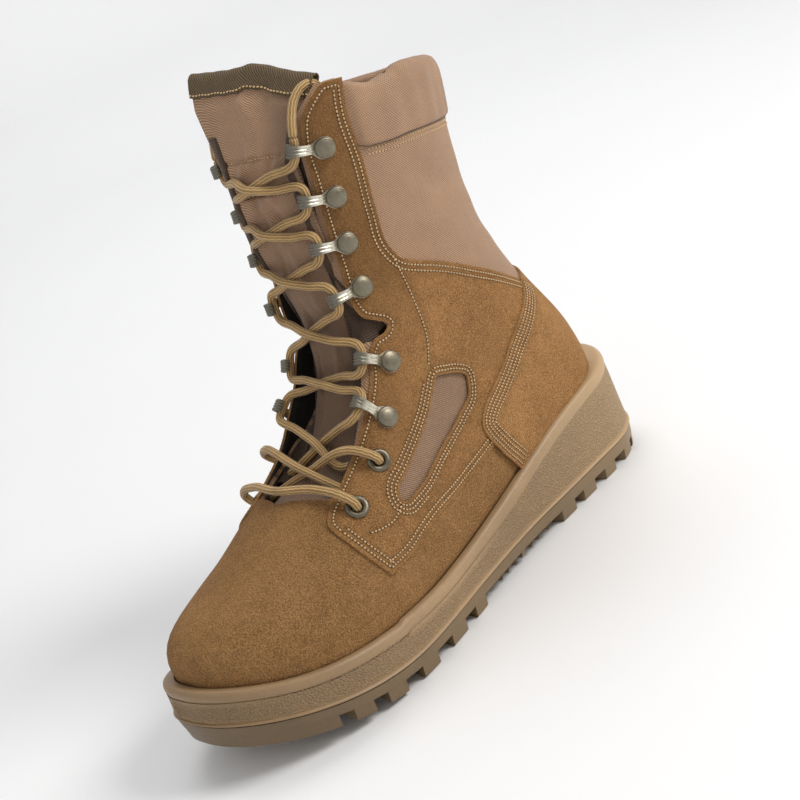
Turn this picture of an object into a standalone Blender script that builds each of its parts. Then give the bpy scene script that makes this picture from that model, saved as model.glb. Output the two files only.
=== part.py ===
"""A left lace-up hiking boot with an eight-inch shaft, standing empty on its sole.

The toe points to -Y and the outer (lateral) side to +X. The tables hold millimetres,
and every mesh is made in metres. The upper, its cup in the midsole, the insole, the
tongue, the collar pad and the heel pieces all come from one form: a fan of sections
that starts at the toe, turns about the instep and ends level at the collar.
"""

import math

import bmesh
import bpy
import numpy as np
from mathutils import Matrix, Vector

NAME = "hiking_boot"
MM = 0.001

# Driving dimensions, in millimetres.
LENGTH = 300.0
TOE_Y, HEEL_Y = -LENGTH / 2, LENGTH / 2
AXIS_X = -2.7  # the foot's centre line, where the sole's box is centred on zero
GAP = 0.3  # between pieces that touch
SKIN_GAP = 0.5  # between two pieces that follow the form one over the other
SIDES = (("lateral", 1), ("medial", -1))
WALL = 2.2  # suede or nylon with its lining
LACE = 4.0  # lace diameter
INSOLE, INSOLE_GAP = 4.5, 0.7  # its thickness, and the gap round it
TONGUE_WALL = 3.5
OVERLAY = 1.5  # thickness of the counter and the backstay
LUG_DEPTH = 6.0
HEEL_CORNER, TOE_CORNER = 42.0, 88.0  # lengths over which the sole's ends round off
SPRING = 18.0  # rise of the toe's tread above the floor
SPRING_FROM = -55.0
NOSE_Z = 48.0  # height at which the toe's sections close
NOSE_Y = -143.0
NOSE_CORNER = 82.0


def table(names, *rows):
    """The columns of a table, by name."""
    return dict(zip(names.split(), np.array(rows, float).T))


SOLE = table(
    "y lateral medial",
    (-150, 54.0, 46.0),
    (-120, 56.0, 50.0),
    (-85, 56.0, 50.5),
    (-50, 53.5, 45.0),
    (-10, 47.5, 36.0),
    (30, 43.0, 33.5),
    (70, 42.0, 37.0),
    (110, 41.0, 40.0),
    (150, 40.0, 40.0),
)
LIP = table("y z", (-150, 47), (-115, 37), (-80, 31.5), (-30, 27.5), (20, 32.5), (80, 46), (150, 54.5))

# Each row is one section: its low point, its high point, its half breadths, how far up
# it is widest, and how square it is below and above that.
SECTIONS = table(
    "turn low_y low_z high_y high_z lateral medial widest low_n high_n",
    (0.00, -143, 33, -143, 74, 49.5, 41.5, 0.40, 3.6, 2.2),
    (0.10, -112, 25, -111, 71, 52.0, 46.5, 0.38, 4.0, 2.2),
    (0.22, -75, 19, -72, 83, 51.5, 46.5, 0.34, 4.0, 2.2),
    (0.32, -42, 18, -38, 103, 49.0, 40.5, 0.32, 4.0, 2.2),
    (0.42, -5, 20, -23, 127, 45.0, 35.0, 0.32, 4.0, 2.2),
    (0.52, 40, 25, -16, 150, 40.5, 32.5, 0.34, 4.0, 2.2),
    (0.61, 88, 31, -13, 170, 39.0, 36.0, 0.40, 4.0, 2.2),
    (0.67, 126, 37, -12, 184, 38.5, 38.0, 0.45, 3.6, 2.2),
    (0.72, 137.0, 64.0, -11, 196, 38.0, 38.0, 0.481, 2.2, 2.2),
    (0.79, 119.8, 106.0, -10, 206, 38.0, 38.0, 0.447, 1.86, 2.2),
    (0.86, 106.6, 144.2, -9, 217, 38.0, 38.0, 0.442, 1.95, 2.2),
    (0.93, 104.9, 181.5, -8, 231, 40.0, 40.0, 0.459, 2.15, 2.2),
    (1.00, 113, 230, -8, 250, 45.0, 45.0, 0.47, 2.1, 2.2),
)
# Colour, roughness and metallic value of each kind of piece.
FINISHES = {
    "upper": ((0.40, 0.28, 0.17), 0.90, 0.0),
    "heel_counter": ((0.36, 0.25, 0.15), 0.90, 0.0),
    "backstay": ((0.16, 0.11, 0.07), 0.85, 0.0),
    "collar_pad": ((0.50, 0.37, 0.26), 0.85, 0.0),
    "tongue": ((0.48, 0.35, 0.24), 0.85, 0.0),
    "insole": ((0.10, 0.08, 0.06), 0.95, 0.0),
    "midsole": ((0.42, 0.29, 0.17), 0.70, 0.0),
    "outsole": ((0.38, 0.26, 0.15), 0.75, 0.0),
    "eyelet": ((0.30, 0.27, 0.22), 0.35, 1.0),
    "hook": ((0.30, 0.27, 0.22), 0.35, 1.0),
    "lace": ((0.45, 0.30, 0.13), 0.80, 0.0),
}
# Half the throat's opening, from the vamp's edge to the tops of the eyestays.
THROAT = table(
    "turn half",
    (0.18, 1.0),
    (0.21, 6.0),
    (0.235, 14.0),
    (0.25, 27.0),
    (0.28, 29.5),
    (0.42, 31.0),
    (0.50, 29.5),
    (0.58, 29.5),
    (0.605, 31.0),
    (0.65, 25.0),
    (0.73, 25.0),
    (0.85, 27.0),
    (0.94, 29.5),
    (0.97, 33.0),
    (1.00, 40.0),
)
# The tongue: how deep it lies under the form, its half angle in degrees, and how far
# its middle is pressed back. Past a turn of 1 it stands above the collar.
TONGUE = table(
    "turn inset half back",
    (0.15, 3.4, 34, 0),
    (0.20, 4.5, 40, 0),
    (0.27, 8.2, 46, 0),
    (0.36, 10.0, 46, 0),
    (0.50, 10.0, 47, 0),
    (0.65, 9.0, 47, 0),
    (0.80, 8.0, 47, 0),
    (0.92, 6.5, 46, 3),
    (1.00, 5.5, 45, 8),
    (1.06, 5.5, 45, 12),
)
# The collar pad's ring: where each point lies along the form, how deep under it, and
# how far above the form's rim.
PAD = table(
    "turn inset rise",
    (0.925, 3.6, 0),
    (0.935, 7.0, 0),
    (0.965, 9.0, 0),
    (1.00, 9.0, 0.5),
    (1.00, 7.4, 3.2),
    (1.00, 4.4, 3.4),
    (1.00, 3.3, 1.0),
    (0.965, 3.3, 0),
)
PAD_FROM = 80.0  # degrees from the front on each side
# The heel counter from the side: its front edge, top and back.
COUNTER = ((150, 116), (96, 116), (72, 101), (52, 89), (37, 77), (34, 66), (37, 54))
BACKSTAY, BACKSTAY_TOP = 18.0, 206.0  # its width and the height of its upper end
# Eyelets and speed hooks by their place on the outer side, lowest first. A hook's tip is
# its distance from the foot's centre line, and its place along Y and Z.
EYELETS = table("turn angle", (0.276, 48), (0.351, 51))
EYELET = (2.6, 3.3, 5.3)  # radii of its bore, barrel and flange
HOOKS = table(
    "turn angle tip_out tip_y tip_z",
    (0.430, 53, 22.1, -21.7, 108.9),
    (0.534, 54, 22.9, -11.3, 128.3),
    (0.647, 45, 23.3, -8.6, 156.9),
    (0.717, 45, 25.0, -8.1, 181.4),
    (0.834, 50, 26.5, -5.0, 202.6),
    (0.925, 54, 27.7, -0.7, 224.7),
)
# A hook's strip from under its stud to its curled tip: distance toward the throat,
# height over the upper and half width.
HOOK_STRIP = table(
    "reach height half",
    (0.0, 0.9, 3.4),
    (4.5, 1.4, 3.4),
    (8.0, 3.5, 2.5),
    (14.5, 4.2, 2.5),
    (17.0, 3.1, 2.7),
    (17.8, 0.9, 2.7),
    (17.0, -1.3, 2.7),
)
HOOK_METAL = 1.1
STUD_RADIUS, STUD_HEIGHT = 4.6, 3.9
STUD_SEAT = 0.4  # height of its underside over the upper
LACE_STEP = 13.0  # longest stretch between two points of a joined strand
LACE_SEAT = (13.0, 0.7)  # the lace's reach and height inside a hook
# The lateral end, from above its top hook to where it drops inside the collar.
LACE_END = (
    (26.6, 5.1, 229.5),
    (27.2, 7.7, 236.0),
    (27.9, 12.3, 242.6),
    (29.2, 17.8, 246.2),
    (30.0, 23.4, 246.0),
    (30.2, 27.6, 241.5),
    (29.8, 29.2, 234.0),
)

# Tread lugs: the two ends across, the place and the outer end's shift along Y, and the
# length along Y. An end at 99 runs past the sole's edge and is trimmed by it.
LUGS = table(
    "inner outer y sweep length",
    (27, 99, -96, -7, 13),
    (27, 99, -77, -7, 13),
    (28, 99, -57, -6, 14),
    (28, 99, -36, -5, 14),
    (26, 99, -16, -4, 12),
    (-27, -99, -95, -4, 13),
    (-27, -99, -76, -4, 13),
    (-26, -99, -57, -3, 13),
    (-24, -99, -37, -2, 13),
    (-22, -99, -17, -1, 12),
    (9, 23, -88, -4, 11),
    (9, 23, -69, -4, 11),
    (9, 23, -50, -4, 11),
    (9, 22, -31, -4, 11),
    (-10, -23, -87, -4, 11),
    (-10, -23, -68, -4, 11),
    (-10, -22, -49, -4, 11),
    (-8, -20, -30, -4, 11),
    (-7, 5, -79, 0, 10),
    (-7, 5, -60, 0, 10),
    (-6, 5, -41, 0, 10),
    (-6, 5, -22, 0, 10),
    (23, 99, 60, 3, 13),
    (22, 99, 79, 3, 12),
    (22, 99, 98, 4, 12),
    (19, 99, 117, 5, 12),
    (-23, -99, 60, 3, 13),
    (-24, -99, 79, 3, 12),
    (-24, -99, 98, 4, 12),
    (-21, -99, 117, 5, 12),
    (-15, 13, 66, 0, 22),
    (-15, 13, 95, 0, 22),
    (-99, 99, 142, 0, 26),
)
SWEPT = 30.0  # an outer end's shift is reached this far out, and grows with a longer lug
TOE_LUG_Y = -109.0  # the toe block runs from here to the tip
SHANK_RIBS = 7
RIB = 4.0
SHANK_FROM, SHANK_TO = -3.0, 47.0
SHANK_DEPTH = 3.0  # the ribs under the arch stand this far off the floor


def through(columns, name, key, at):
    """A smooth curve through a table's column, at one or many places."""
    xs, ys = columns[key], columns[name]
    at = np.clip(np.asarray(at, float), xs[0], xs[-1])
    step = np.diff(xs)
    rise = np.diff(ys) / step
    slope = np.empty_like(ys)
    slope[1:-1] = (rise[:-1] * step[1:] + rise[1:] * step[:-1]) / (step[:-1] + step[1:])
    slope[0] = 1.5 * rise[0] - 0.5 * slope[1]
    slope[-1] = 1.5 * rise[-1] - 0.5 * slope[-2]
    i = np.clip(np.searchsorted(xs, at) - 1, 0, len(step) - 1)
    t = (at - xs[i]) / step[i]
    ends = (2 * t**3 - 3 * t**2 + 1) * ys[i] + (3 * t**2 - 2 * t**3) * ys[i + 1]
    return ends + step[i] * ((t**3 - 2 * t**2 + t) * slope[i] + (t**3 - t**2) * slope[i + 1])


def round_end(depth, n):
    """0 at an end, rising to 1 as depth reaches 1, like a quarter of a superellipse."""
    return (1 - (1 - np.clip(depth, 0, 1)) ** n) ** (1 / n)


def toe_shift(y):
    """The toe turns a little to the inner side."""
    return -4.0 * np.clip((-y - 60) / 90, 0, 1) ** 2


def spring(y):
    """Height of the tread's lowest face."""
    return SPRING * np.clip((SPRING_FROM - y) / (SPRING_FROM - TOE_Y), 0, 1) ** 1.8


def split_z(y):
    """Height of the joint between outsole and midsole."""
    return 12.9 - 1.5 * np.clip((HEEL_Y - y) / 200, 0, 1) + spring(y)


def lip_z(y):
    return through(LIP, "z", "y", y)


# ---- the form ----


def form(turn, angle):
    """Points of the upper's outer form. The angle is 0 at the front or top of a section,
    pi at its low point, and negative on the inner side."""
    turn, angle = np.broadcast_arrays(np.asarray(turn, float), np.asarray(angle, float))
    row = {name: through(SECTIONS, name, "turn", turn) for name in SECTIONS if name != "turn"}
    depth = (row["low_y"] - NOSE_Y) / NOSE_CORNER
    high_z = NOSE_Z + (row["high_z"] - NOSE_Z) * round_end(depth * 1.6, 2.3)
    low_z = NOSE_Z + (row["low_z"] - NOSE_Z) * round_end(depth * 4.0, 2.0)
    half = np.where(angle >= 0, row["lateral"], row["medial"]) * round_end(depth, 2.25)
    along, across = np.cos(angle), np.abs(np.sin(angle))
    n = np.where(along >= 0, row["high_n"], row["low_n"])
    reach = np.abs(along) ** (2 / n)
    widest = row["widest"]
    up = np.where(along >= 0, widest + (1 - widest) * reach, widest - widest * reach)
    x = AXIS_X + toe_shift(row["low_y"]) + np.where(angle >= 0, 1, -1) * half * across ** (2 / n)
    y = row["low_y"] + (row["high_y"] - row["low_y"]) * up
    z = low_z + (high_z - low_z) * up
    return np.stack([x, y, z], -1)


def form_normal(turn, angle):
    """Unit normals of the form, pointing out."""
    step = 0.002
    turn = np.clip(turn, 0.01, 1 - step)
    along = form(turn + step, angle) - form(turn - step, angle)
    across = form(turn, angle + step) - form(turn, angle - step)
    normal = np.cross(across, along)
    return normal / np.linalg.norm(normal, axis=-1, keepdims=True)


def under_z(y):
    """Height of the form's lowest surface."""
    low = form(np.linspace(0, 0.70, 60), np.pi)
    return np.interp(y, low[:, 1], low[:, 2])


# ---- meshes ----


def new_object(name, mesh, collection):
    obj = bpy.data.objects.new(name, mesh)
    collection.objects.link(obj)
    return obj


def mesh_from(bm, name, sharp=35):
    """A mesh in metres from a bmesh in millimetres, smooth except at sharp edges."""
    bmesh.ops.scale(bm, vec=(MM, MM, MM), verts=bm.verts)
    bmesh.ops.recalc_face_normals(bm, faces=bm.faces)
    mesh = bpy.data.meshes.new(name)
    bm.to_mesh(mesh)
    bm.free()
    mesh.shade_smooth()
    mesh.set_sharp_from_angle(angle=math.radians(sharp))
    return mesh


def loft(bm, rings, closed=True, cap=True):
    """Faces between rings of points. Both ends are capped if asked."""
    rows = [[bm.verts.new(point) for point in ring] for ring in rings]
    count = len(rows[0])
    for low, high in zip(rows, rows[1:]):
        for i in range(count if closed else count - 1):
            j = (i + 1) % count
            bm.faces.new((low[i], low[j], high[j], high[i]))
    if cap:
        bm.faces.new(rows[0][::-1])
        bm.faces.new(rows[-1])
    return rows


def form_rows():
    """The turns of the form's rows, closer together round the toe."""
    toe = 0.0017 * np.arange(1, 8) ** 2
    return np.concatenate([toe, np.linspace(0.12, 1, 17)])


def form_mesh(name, grow=0.0, closed=True, columns=24):
    """The form moved out by grow, closed over the collar or open there."""
    bm = bmesh.new()
    angles = np.linspace(-np.pi, np.pi, columns, endpoint=False)
    nose = bm.verts.new(form(0, 0))
    rows = loft(bm, [form(turn, angles) for turn in form_rows()], cap=False)
    for i in range(columns):
        bm.faces.new((nose, rows[0][(i + 1) % columns], rows[0][i]))
    if closed:
        bm.faces.new(rows[-1])
    bmesh.ops.recalc_face_normals(bm, faces=bm.faces)
    bmesh.ops.triangulate(bm, faces=bm.faces, quad_method="FIXED")
    bm.normal_update()
    if grow:
        moved = [(vert, vert.normal * grow) for vert in bm.verts]
        for vert, shift in moved:
            vert.co += shift
    return mesh_from(bm, name)


def outline(grow, count=29):
    """The sole's outline from the heel along the outer side to the toe and back along
    the inner side. Points i and -i have the same y before they are grown."""
    y = HEEL_Y * np.cos(np.linspace(0.03, np.pi - 0.03, count))
    ends = round_end((HEEL_Y - y) / HEEL_CORNER, 2.1) * round_end((y - TOE_Y) / TOE_CORNER, 2.25)
    sides = [
        AXIS_X + toe_shift(y) + sign * through(SOLE, side, "y", y) * ends
        for side, sign in (("lateral", 1), ("medial", -1))
    ]
    x = np.concatenate([sides[0], sides[1][::-1]])
    y = np.concatenate([y, y[::-1]])
    tangent = np.stack([np.roll(x, -1) - np.roll(x, 1), np.roll(y, -1) - np.roll(y, 1)])
    tangent /= np.linalg.norm(tangent, axis=0)
    return np.stack([x - grow * tangent[1], y + grow * tangent[0]], -1)


def sole_body(name, levels):
    """A closed body from levels (grow, height as a function of y), bottom first."""
    bm = bmesh.new()
    rings = []
    for grow, height in levels:
        edge = outline(grow)
        rings.append(np.column_stack([edge, height(edge[:, 1])]))
    rows = loft(bm, rings, cap=False)
    for row, flip in ((rows[0], True), (rows[-1], False)):
        half = len(row) // 2
        for i in range(half - 1):
            face = (row[i], row[i + 1], row[-2 - i], row[-1 - i])
            bm.faces.new(face[::-1] if flip else face)
    return mesh_from(bm, name)


def cut(obj, cutter, operation="DIFFERENCE"):
    modifier = obj.modifiers.new(cutter.name, "BOOLEAN")
    modifier.operation = operation
    modifier.object = cutter


def helper(name, mesh, cutters):
    """A cutter, which is neither rendered nor part of the boot."""
    obj = new_object(name, mesh, cutters)
    obj.hide_render = True
    obj.display_type = "WIRE"
    return obj


# ---- the pieces ----


def make_upper(parts, cutters):
    """One hollow shell, open at the collar, the throat and underneath."""
    upper = new_object("upper", form_mesh("upper", closed=False), parts)
    wall = upper.modifiers.new("wall", "SOLIDIFY")
    wall.thickness = WALL * MM
    wall.offset = -1
    wall.use_even_offset = True
    cut(upper, throat_cutter(cutters))
    cut(upper, underside_cutter(cutters))
    for i, (turn, angle) in enumerate(zip(EYELETS["turn"], np.radians(EYELETS["angle"]))):
        for side in (1, -1):
            cut(upper, eyelet_hole(f"eyelet_hole_{i}_{side}", turn, side * angle, cutters))
    return upper


def throat_cutter(cutters):
    """A block with the throat's outline that follows the front of the form."""
    low, high = np.linspace(0.18, 0.30, 9), np.linspace(0.335, 0.93, 14)
    turns = np.concatenate([low, high, THROAT["turn"][-2:]])
    bm = bmesh.new()
    rings = [throat_ring(turn) for turn in turns]
    above_collar = np.array([0, 0, 25])
    rings.append([point + above_collar for point in rings[-1]])
    loft(bm, rings)
    return helper("throat_cutter", mesh_from(bm, "throat_cutter"), cutters)


def throat_ring(turn):
    """Four corners of the throat cutter at one section."""
    inside, outside = 32.0, 25.0
    half = np.interp(turn, THROAT["turn"], THROAT["half"])
    low, high = form(turn, np.pi), form(turn, 0.0)
    out = (high - low) / np.linalg.norm(high - low) * [0, 1, 1]
    middle = np.array([AXIS_X + toe_shift(low[1]), high[1], high[2]])
    corners = ((-half, -inside), (half, -inside), (half, outside), (-half, outside))
    return [middle + out * depth + [x, 0, 0] for x, depth in corners]


def underside_cutter(cutters):
    """Opens the upper inside the margin that turns under the foot."""
    margin = 17.0
    mesh = sole_body(
        "underside_cutter",
        [(-margin, lambda y: 0 * y), (-margin, lambda y: under_z(y) + WALL + 2)],
    )
    return helper("underside_cutter", mesh, cutters)


def surface_frame(turn, angle, toward=None):
    """A frame in metres on the form, +Z along its normal and +X toward a point, or else
    toward the throat."""
    point = Vector(form(turn, angle))
    out = Vector(form_normal(turn, angle))
    front = (Vector((AXIS_X, point.y, point.z)) if toward is None else toward) - point
    front -= out * out.dot(front)
    front.normalize()
    side = out.cross(front)
    turned = Matrix((front, side, out)).transposed().to_4x4()
    return Matrix.Translation(point * MM) @ turned


def eyelet_hole(name, turn, angle, cutters):
    radius = EYELET[1] + 0.4
    bm = bmesh.new()
    bmesh.ops.create_cone(bm, cap_ends=True, segments=12, radius1=radius, radius2=radius, depth=14)
    hole = helper(name, mesh_from(bm, name), cutters)
    hole.matrix_world = surface_frame(turn, angle)
    return hole


def make_sole(parts, cutters):
    """Midsole cup, insole and lugged outsole."""
    midsole = new_object(
        "midsole",
        sole_body(
            "midsole",
            [
                (0.0, lambda y: split_z(y) + GAP / 2),
                (-0.6, lambda y: split_z(y) * 0.45 + lip_z(y) * 0.55),
                (-1.2, lambda y: lip_z(y) - 2.2),
                (-2.6, lip_z),
            ],
        ),
        parts,
    )
    cut(midsole, helper("cup_cutter", form_mesh("cup_cutter", SKIN_GAP), cutters))

    insole = new_object("insole", form_mesh("insole", -WALL - INSOLE_GAP), parts)
    slab = sole_body(
        "insole_slab",
        [(8.0, lambda y: under_z(y) - 8), (8.0, lambda y: under_z(y) + WALL + GAP + INSOLE)],
    )
    cut(insole, helper("insole_slab", slab, cutters), "INTERSECT")

    outsole = new_object(
        "outsole",
        sole_body(
            "outsole",
            [(-0.8, lambda y: spring(y) + LUG_DEPTH), (0.0, lambda y: split_z(y) - GAP / 2)],
        ),
        parts,
    )
    tread = sole_body(
        "tread",
        [(-1.8, spring), (-0.3, lambda y: spring(y) + LUG_DEPTH + 1.5)],
    )
    lugs = helper("lugs", tread, cutters)
    cut(lugs, helper("lug_blocks", lug_blocks(), cutters), "INTERSECT")
    cut(outsole, lugs, "UNION")
    return midsole, insole, outsole


def box_plan(x0, x1, y0, y1):
    return (x0, y0), (x1, y0), (x1, y1), (x0, y1)


def block(bm, corners, low, high):
    """A block over a plan of four corners."""
    loft(bm, [[(x, y, z) for x, y in corners] for z in (low, high)])


def lug_blocks():
    """Tall blocks over each lug's plan. The tread's own faces trim them."""
    floor, roof = -5, 60
    bm = bmesh.new()
    for inner, outer, y, sweep, length in zip(*LUGS.values()):
        shift = sweep * max(abs(outer - inner) / SWEPT, 1)
        corners = (
            (inner, y - length / 2),
            (outer, y + shift - length / 2),
            (outer, y + shift + length / 2),
            (inner, y + length / 2),
        )
        block(bm, corners, floor, roof)
    block(bm, box_plan(-80, 80, -170, TOE_LUG_Y), floor, roof)
    pitch = (SHANK_TO - SHANK_FROM) / SHANK_RIBS
    for i in range(SHANK_RIBS):
        y = SHANK_FROM + pitch * (i + 0.5)
        for inner, outer in ((20, 80), (-18, -80)):
            block(bm, box_plan(inner, outer, y - RIB / 2, y + RIB / 2), SHANK_DEPTH, roof)
    return mesh_from(bm, "lug_blocks")


def make_heel(parts, cutters):
    """The counter and the backstay, cut between two larger forms."""
    inner, outer = SKIN_GAP, SKIN_GAP + OVERLAY
    hollow = helper("overlay_cutter", form_mesh("overlay_cutter", inner), cutters)

    counter = new_object("heel_counter", form_mesh("heel_counter", outer), parts)
    lower = [(y, lip_z(y) + GAP) for y in np.linspace(COUNTER[-1][0], HEEL_Y, 12)]
    profile = [*COUNTER[:-1], *lower]
    bm = bmesh.new()
    loft(bm, [[(x, y, z) for y, z in profile] for x in (-80, 80)])
    cut(counter, hollow)
    cut(counter, helper("counter_side", mesh_from(bm, "counter_side"), cutters), "INTERSECT")

    backstay = new_object("backstay", form_mesh("backstay", outer), parts)
    bm = bmesh.new()
    plan = box_plan(AXIS_X - BACKSTAY / 2, AXIS_X + BACKSTAY / 2, 90, HEEL_Y + 10)
    block(bm, plan, COUNTER[0][1] + GAP, BACKSTAY_TOP)
    cut(backstay, hollow)
    cut(backstay, helper("backstay_strip", mesh_from(bm, "backstay_strip"), cutters), "INTERSECT")
    return counter, backstay


def make_tongue(parts):
    """A padded sheet under the throat that stands above the collar."""
    rows, columns = 14, 9
    lean = np.array([0, 60, 230])  # its free end's rise along Y and Z for a whole turn
    spread = np.linspace(-1, 1, columns)
    bm = bmesh.new()
    rings = []
    for turn in np.linspace(TONGUE["turn"][0], TONGUE["turn"][-1], rows):
        inset, half, back = (through(TONGUE, name, "turn", turn) for name in ("inset", "half", "back"))
        on_form = min(turn, 1.0)
        angle = math.radians(half) * spread
        points = form(on_form, angle) - form_normal(on_form, angle) * inset + lean * (turn - on_form)
        points[:, 1] += back * np.cos(spread * np.pi / 2)
        rings.append(points)
    loft(bm, rings, closed=False, cap=False)
    tongue = new_object("tongue", mesh_from(bm, "tongue"), parts)
    wall = tongue.modifiers.new("wall", "SOLIDIFY")
    wall.thickness = TONGUE_WALL * MM
    wall.offset = -1
    return tongue


def make_collar_pad(parts):
    """A soft ring inside the collar from one eyestay round the back to the other."""
    bm = bmesh.new()
    rings = []
    for degrees in np.linspace(PAD_FROM, 360 - PAD_FROM, 23):
        angle = math.radians(degrees if degrees <= 180 else degrees - 360)
        points = form(PAD["turn"], angle) - form_normal(PAD["turn"], angle) * PAD["inset"][:, None]
        points[:, 2] += PAD["rise"]
        rings.append(points)
    loft(bm, rings)
    return new_object("collar_pad", mesh_from(bm, "collar_pad"), parts)


def make_eyelets(parts):
    """Turned rings whose barrels pass through the upper."""
    bore, barrel, flange = EYELET
    foot = -WALL - 0.9
    profile = (
        (bore, 1.5),
        (flange - 0.4, 1.5),
        (flange, 0.7),
        (barrel, 0.5),
        (barrel, foot),
        (bore, foot),
    )
    bm = bmesh.new()
    verts = [bm.verts.new((r, 0, z)) for r, z in profile]
    for here, there in zip(verts, verts[1:] + verts[:1]):
        bm.edges.new((here, there))
    mesh = mesh_from(bm, "eyelet")
    for i, (turn, degrees) in enumerate(zip(*EYELETS.values()), 1):
        for side, sign in SIDES:
            ring = new_object(f"eyelet_{side}_{i}", mesh, parts)
            ring.matrix_world = surface_frame(turn, sign * math.radians(degrees))
            turned = ring.modifiers.new("turned", "SCREW")
            turned.steps = turned.render_steps = 10
            turned.use_merge_vertices = True
            turned.merge_threshold = 0.00001


def hook_frame(i, sign):
    """A hook's frame on one side: +X toward the throat, +Z away from the upper."""
    turn, angle = HOOKS["turn"][i], sign * math.radians(HOOKS["angle"][i])
    tip = (AXIS_X + sign * HOOKS["tip_out"][i], HOOKS["tip_y"][i], HOOKS["tip_z"][i])
    return surface_frame(turn, angle, Vector(tip))


def make_hooks(parts, cutters):
    """Domed studs with a strip that runs toward the throat and curls in at its tip."""
    bm = bmesh.new()
    rows = np.stack(list(HOOK_STRIP.values()), -1)
    along = np.gradient(rows[:, :2], axis=0)
    along /= np.linalg.norm(along, axis=1, keepdims=True)
    rings = []
    for (reach, height, half), (dx, dz) in zip(rows, along):
        shift = np.array([-dz, 0, dx]) * HOOK_METAL / 2
        left, right = np.array([reach, -half, height]), np.array([reach, half, height])
        rings.append([left - shift, right - shift, right + shift, left + shift])
    loft(bm, rings)
    strip = mesh_from(bm, "hook_strip")

    bm = bmesh.new()
    wide, top = STUD_RADIUS, STUD_RADIUS * 0.6
    bmesh.ops.create_cone(bm, cap_ends=True, segments=8, radius1=wide, radius2=top, depth=STUD_HEIGHT)
    bmesh.ops.translate(bm, vec=(0, 0, STUD_SEAT + STUD_HEIGHT / 2), verts=bm.verts)
    dome = helper("hook_dome", mesh_from(bm, "hook_dome"), cutters)

    plain = helper("hook_whole", strip, cutters)
    cut(plain, dome, "UNION")
    graph = bpy.context.evaluated_depsgraph_get()
    mesh = bpy.data.meshes.new_from_object(plain.evaluated_get(graph))
    mesh.name = "hook"
    for i in range(len(HOOKS["turn"])):
        for side, sign in SIDES:
            hook = new_object(f"hook_{side}_{i + 1}", mesh, parts)
            hook.matrix_world = hook_frame(i, sign)


# ---- the lace ----


def at(frame, x, y, z):
    """A point of a frame, in millimetres."""
    return np.array(frame @ Vector((x * MM, y * MM, z * MM))) / MM


def hook_pass(i, sign):
    """The lace's points down through one hook."""
    frame = hook_frame(i, sign)
    reach, height = LACE_SEAT
    upward = 1 if at(frame, 0, 1, 0)[2] > at(frame, 0, -1, 0)[2] else -1
    steps = ((0.4, 5.6, -0.2), (0, 2.6, 0), (0, -2.6, 0), (0.4, -5.6, -0.2))
    return [at(frame, reach + front, upward * up, height + out) for front, up, out in steps]


def over_tongue(turn, out):
    """A point in the throat's middle, at a height over the tongue's face."""
    inset, back = through(TONGUE, "inset", "turn", turn), through(TONGUE, "back", "turn", turn)
    point = form(turn, 0.0) - form_normal(turn, 0.0) * (inset - out)
    return point + [0, back, 0]


def under_edge(turn, sign, inset):
    """A point just inside the throat's edge and under the level of the upper."""
    half = np.interp(turn, THROAT["turn"], THROAT["half"]) - 4.5
    angles = np.linspace(0, sign * np.pi / 2, 60)
    points = form(turn, angles)
    near = np.abs(np.abs(points[:, 0] - AXIS_X) - half).argmin()
    return points[near] - form_normal(turn, angles[near]) * inset


def lattice(sign, lift):
    """One strand from its top hook down to the throat's edge above the eyelets. It
    changes side at each level, and lift is its height over the tongue where it crosses."""
    route = []
    for i in reversed(range(len(HOOKS["turn"]))):
        route += hook_pass(i, sign)
        below = HOOKS["turn"][i - 1] if i else EYELETS["turn"][-1]
        route.append(over_tongue((HOOKS["turn"][i] + below) / 2, lift))
        sign = -sign
    route.append(under_edge(EYELETS["turn"][-1] + 0.02, sign, 3.6))
    return route


def smooth_route(route, spacing):
    """Points on a smooth curve through the route, the route's own points among them."""
    route = np.array(route)
    lengths = np.linalg.norm(np.diff(route, axis=0), axis=1)
    steps = np.concatenate([[0], np.cumsum(lengths)])
    columns = dict(zip("sxyz", [steps, *route.T]))
    places = [
        np.linspace(start, end, math.ceil((end - start) / spacing), endpoint=False)
        for start, end in zip(steps, steps[1:])
    ]
    places = np.concatenate([*places, steps[-1:]])
    return np.stack([through(columns, axis, "s", places) for axis in "xyz"], -1)


def cord(name, route, spacing, collection, sides=1):
    """A capped round tube along a route, as a curve."""
    curve = bpy.data.curves.new(name, "CURVE")
    curve.dimensions = "3D"
    curve.bevel_depth = LACE / 2 * MM
    curve.bevel_resolution = sides
    curve.use_fill_caps = True
    points = smooth_route(route, spacing) * MM
    spline = curve.splines.new("POLY")
    spline.points.add(len(points) - 1)
    spline.points.foreach_set("co", np.column_stack([points, np.ones(len(points))]).ravel())
    return new_object(name, curve, collection)


def as_mesh(obj, collection):
    """The curve's tube as a mesh object with its caps welded."""
    graph = bpy.context.evaluated_depsgraph_get()
    bm = bmesh.new()
    bm.from_mesh(bpy.data.meshes.new_from_object(obj.evaluated_get(graph)))
    bmesh.ops.remove_doubles(bm, verts=bm.verts, dist=0.00001)
    mesh = bpy.data.meshes.new(obj.name)
    bm.to_mesh(mesh)
    bm.free()
    name, place = obj.name, obj.matrix_world.copy()
    bpy.data.objects.remove(obj)
    made = new_object(name, mesh, collection)
    made.matrix_world = place
    return made


def joined_strands(name, routes, parts, cutters):
    """Two strands joined where they cross."""
    kept = as_mesh(cord(name, routes[0], LACE_STEP, parts), parts)
    other = as_mesh(cord(name + "_over", routes[1], LACE_STEP, cutters), cutters)
    other.hide_render = True
    other.display_type = "WIRE"
    cut(kept, other, "UNION")


def mirrored(route):
    return [(2 * AXIS_X - x, y, z) for x, y, z in route]


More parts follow.
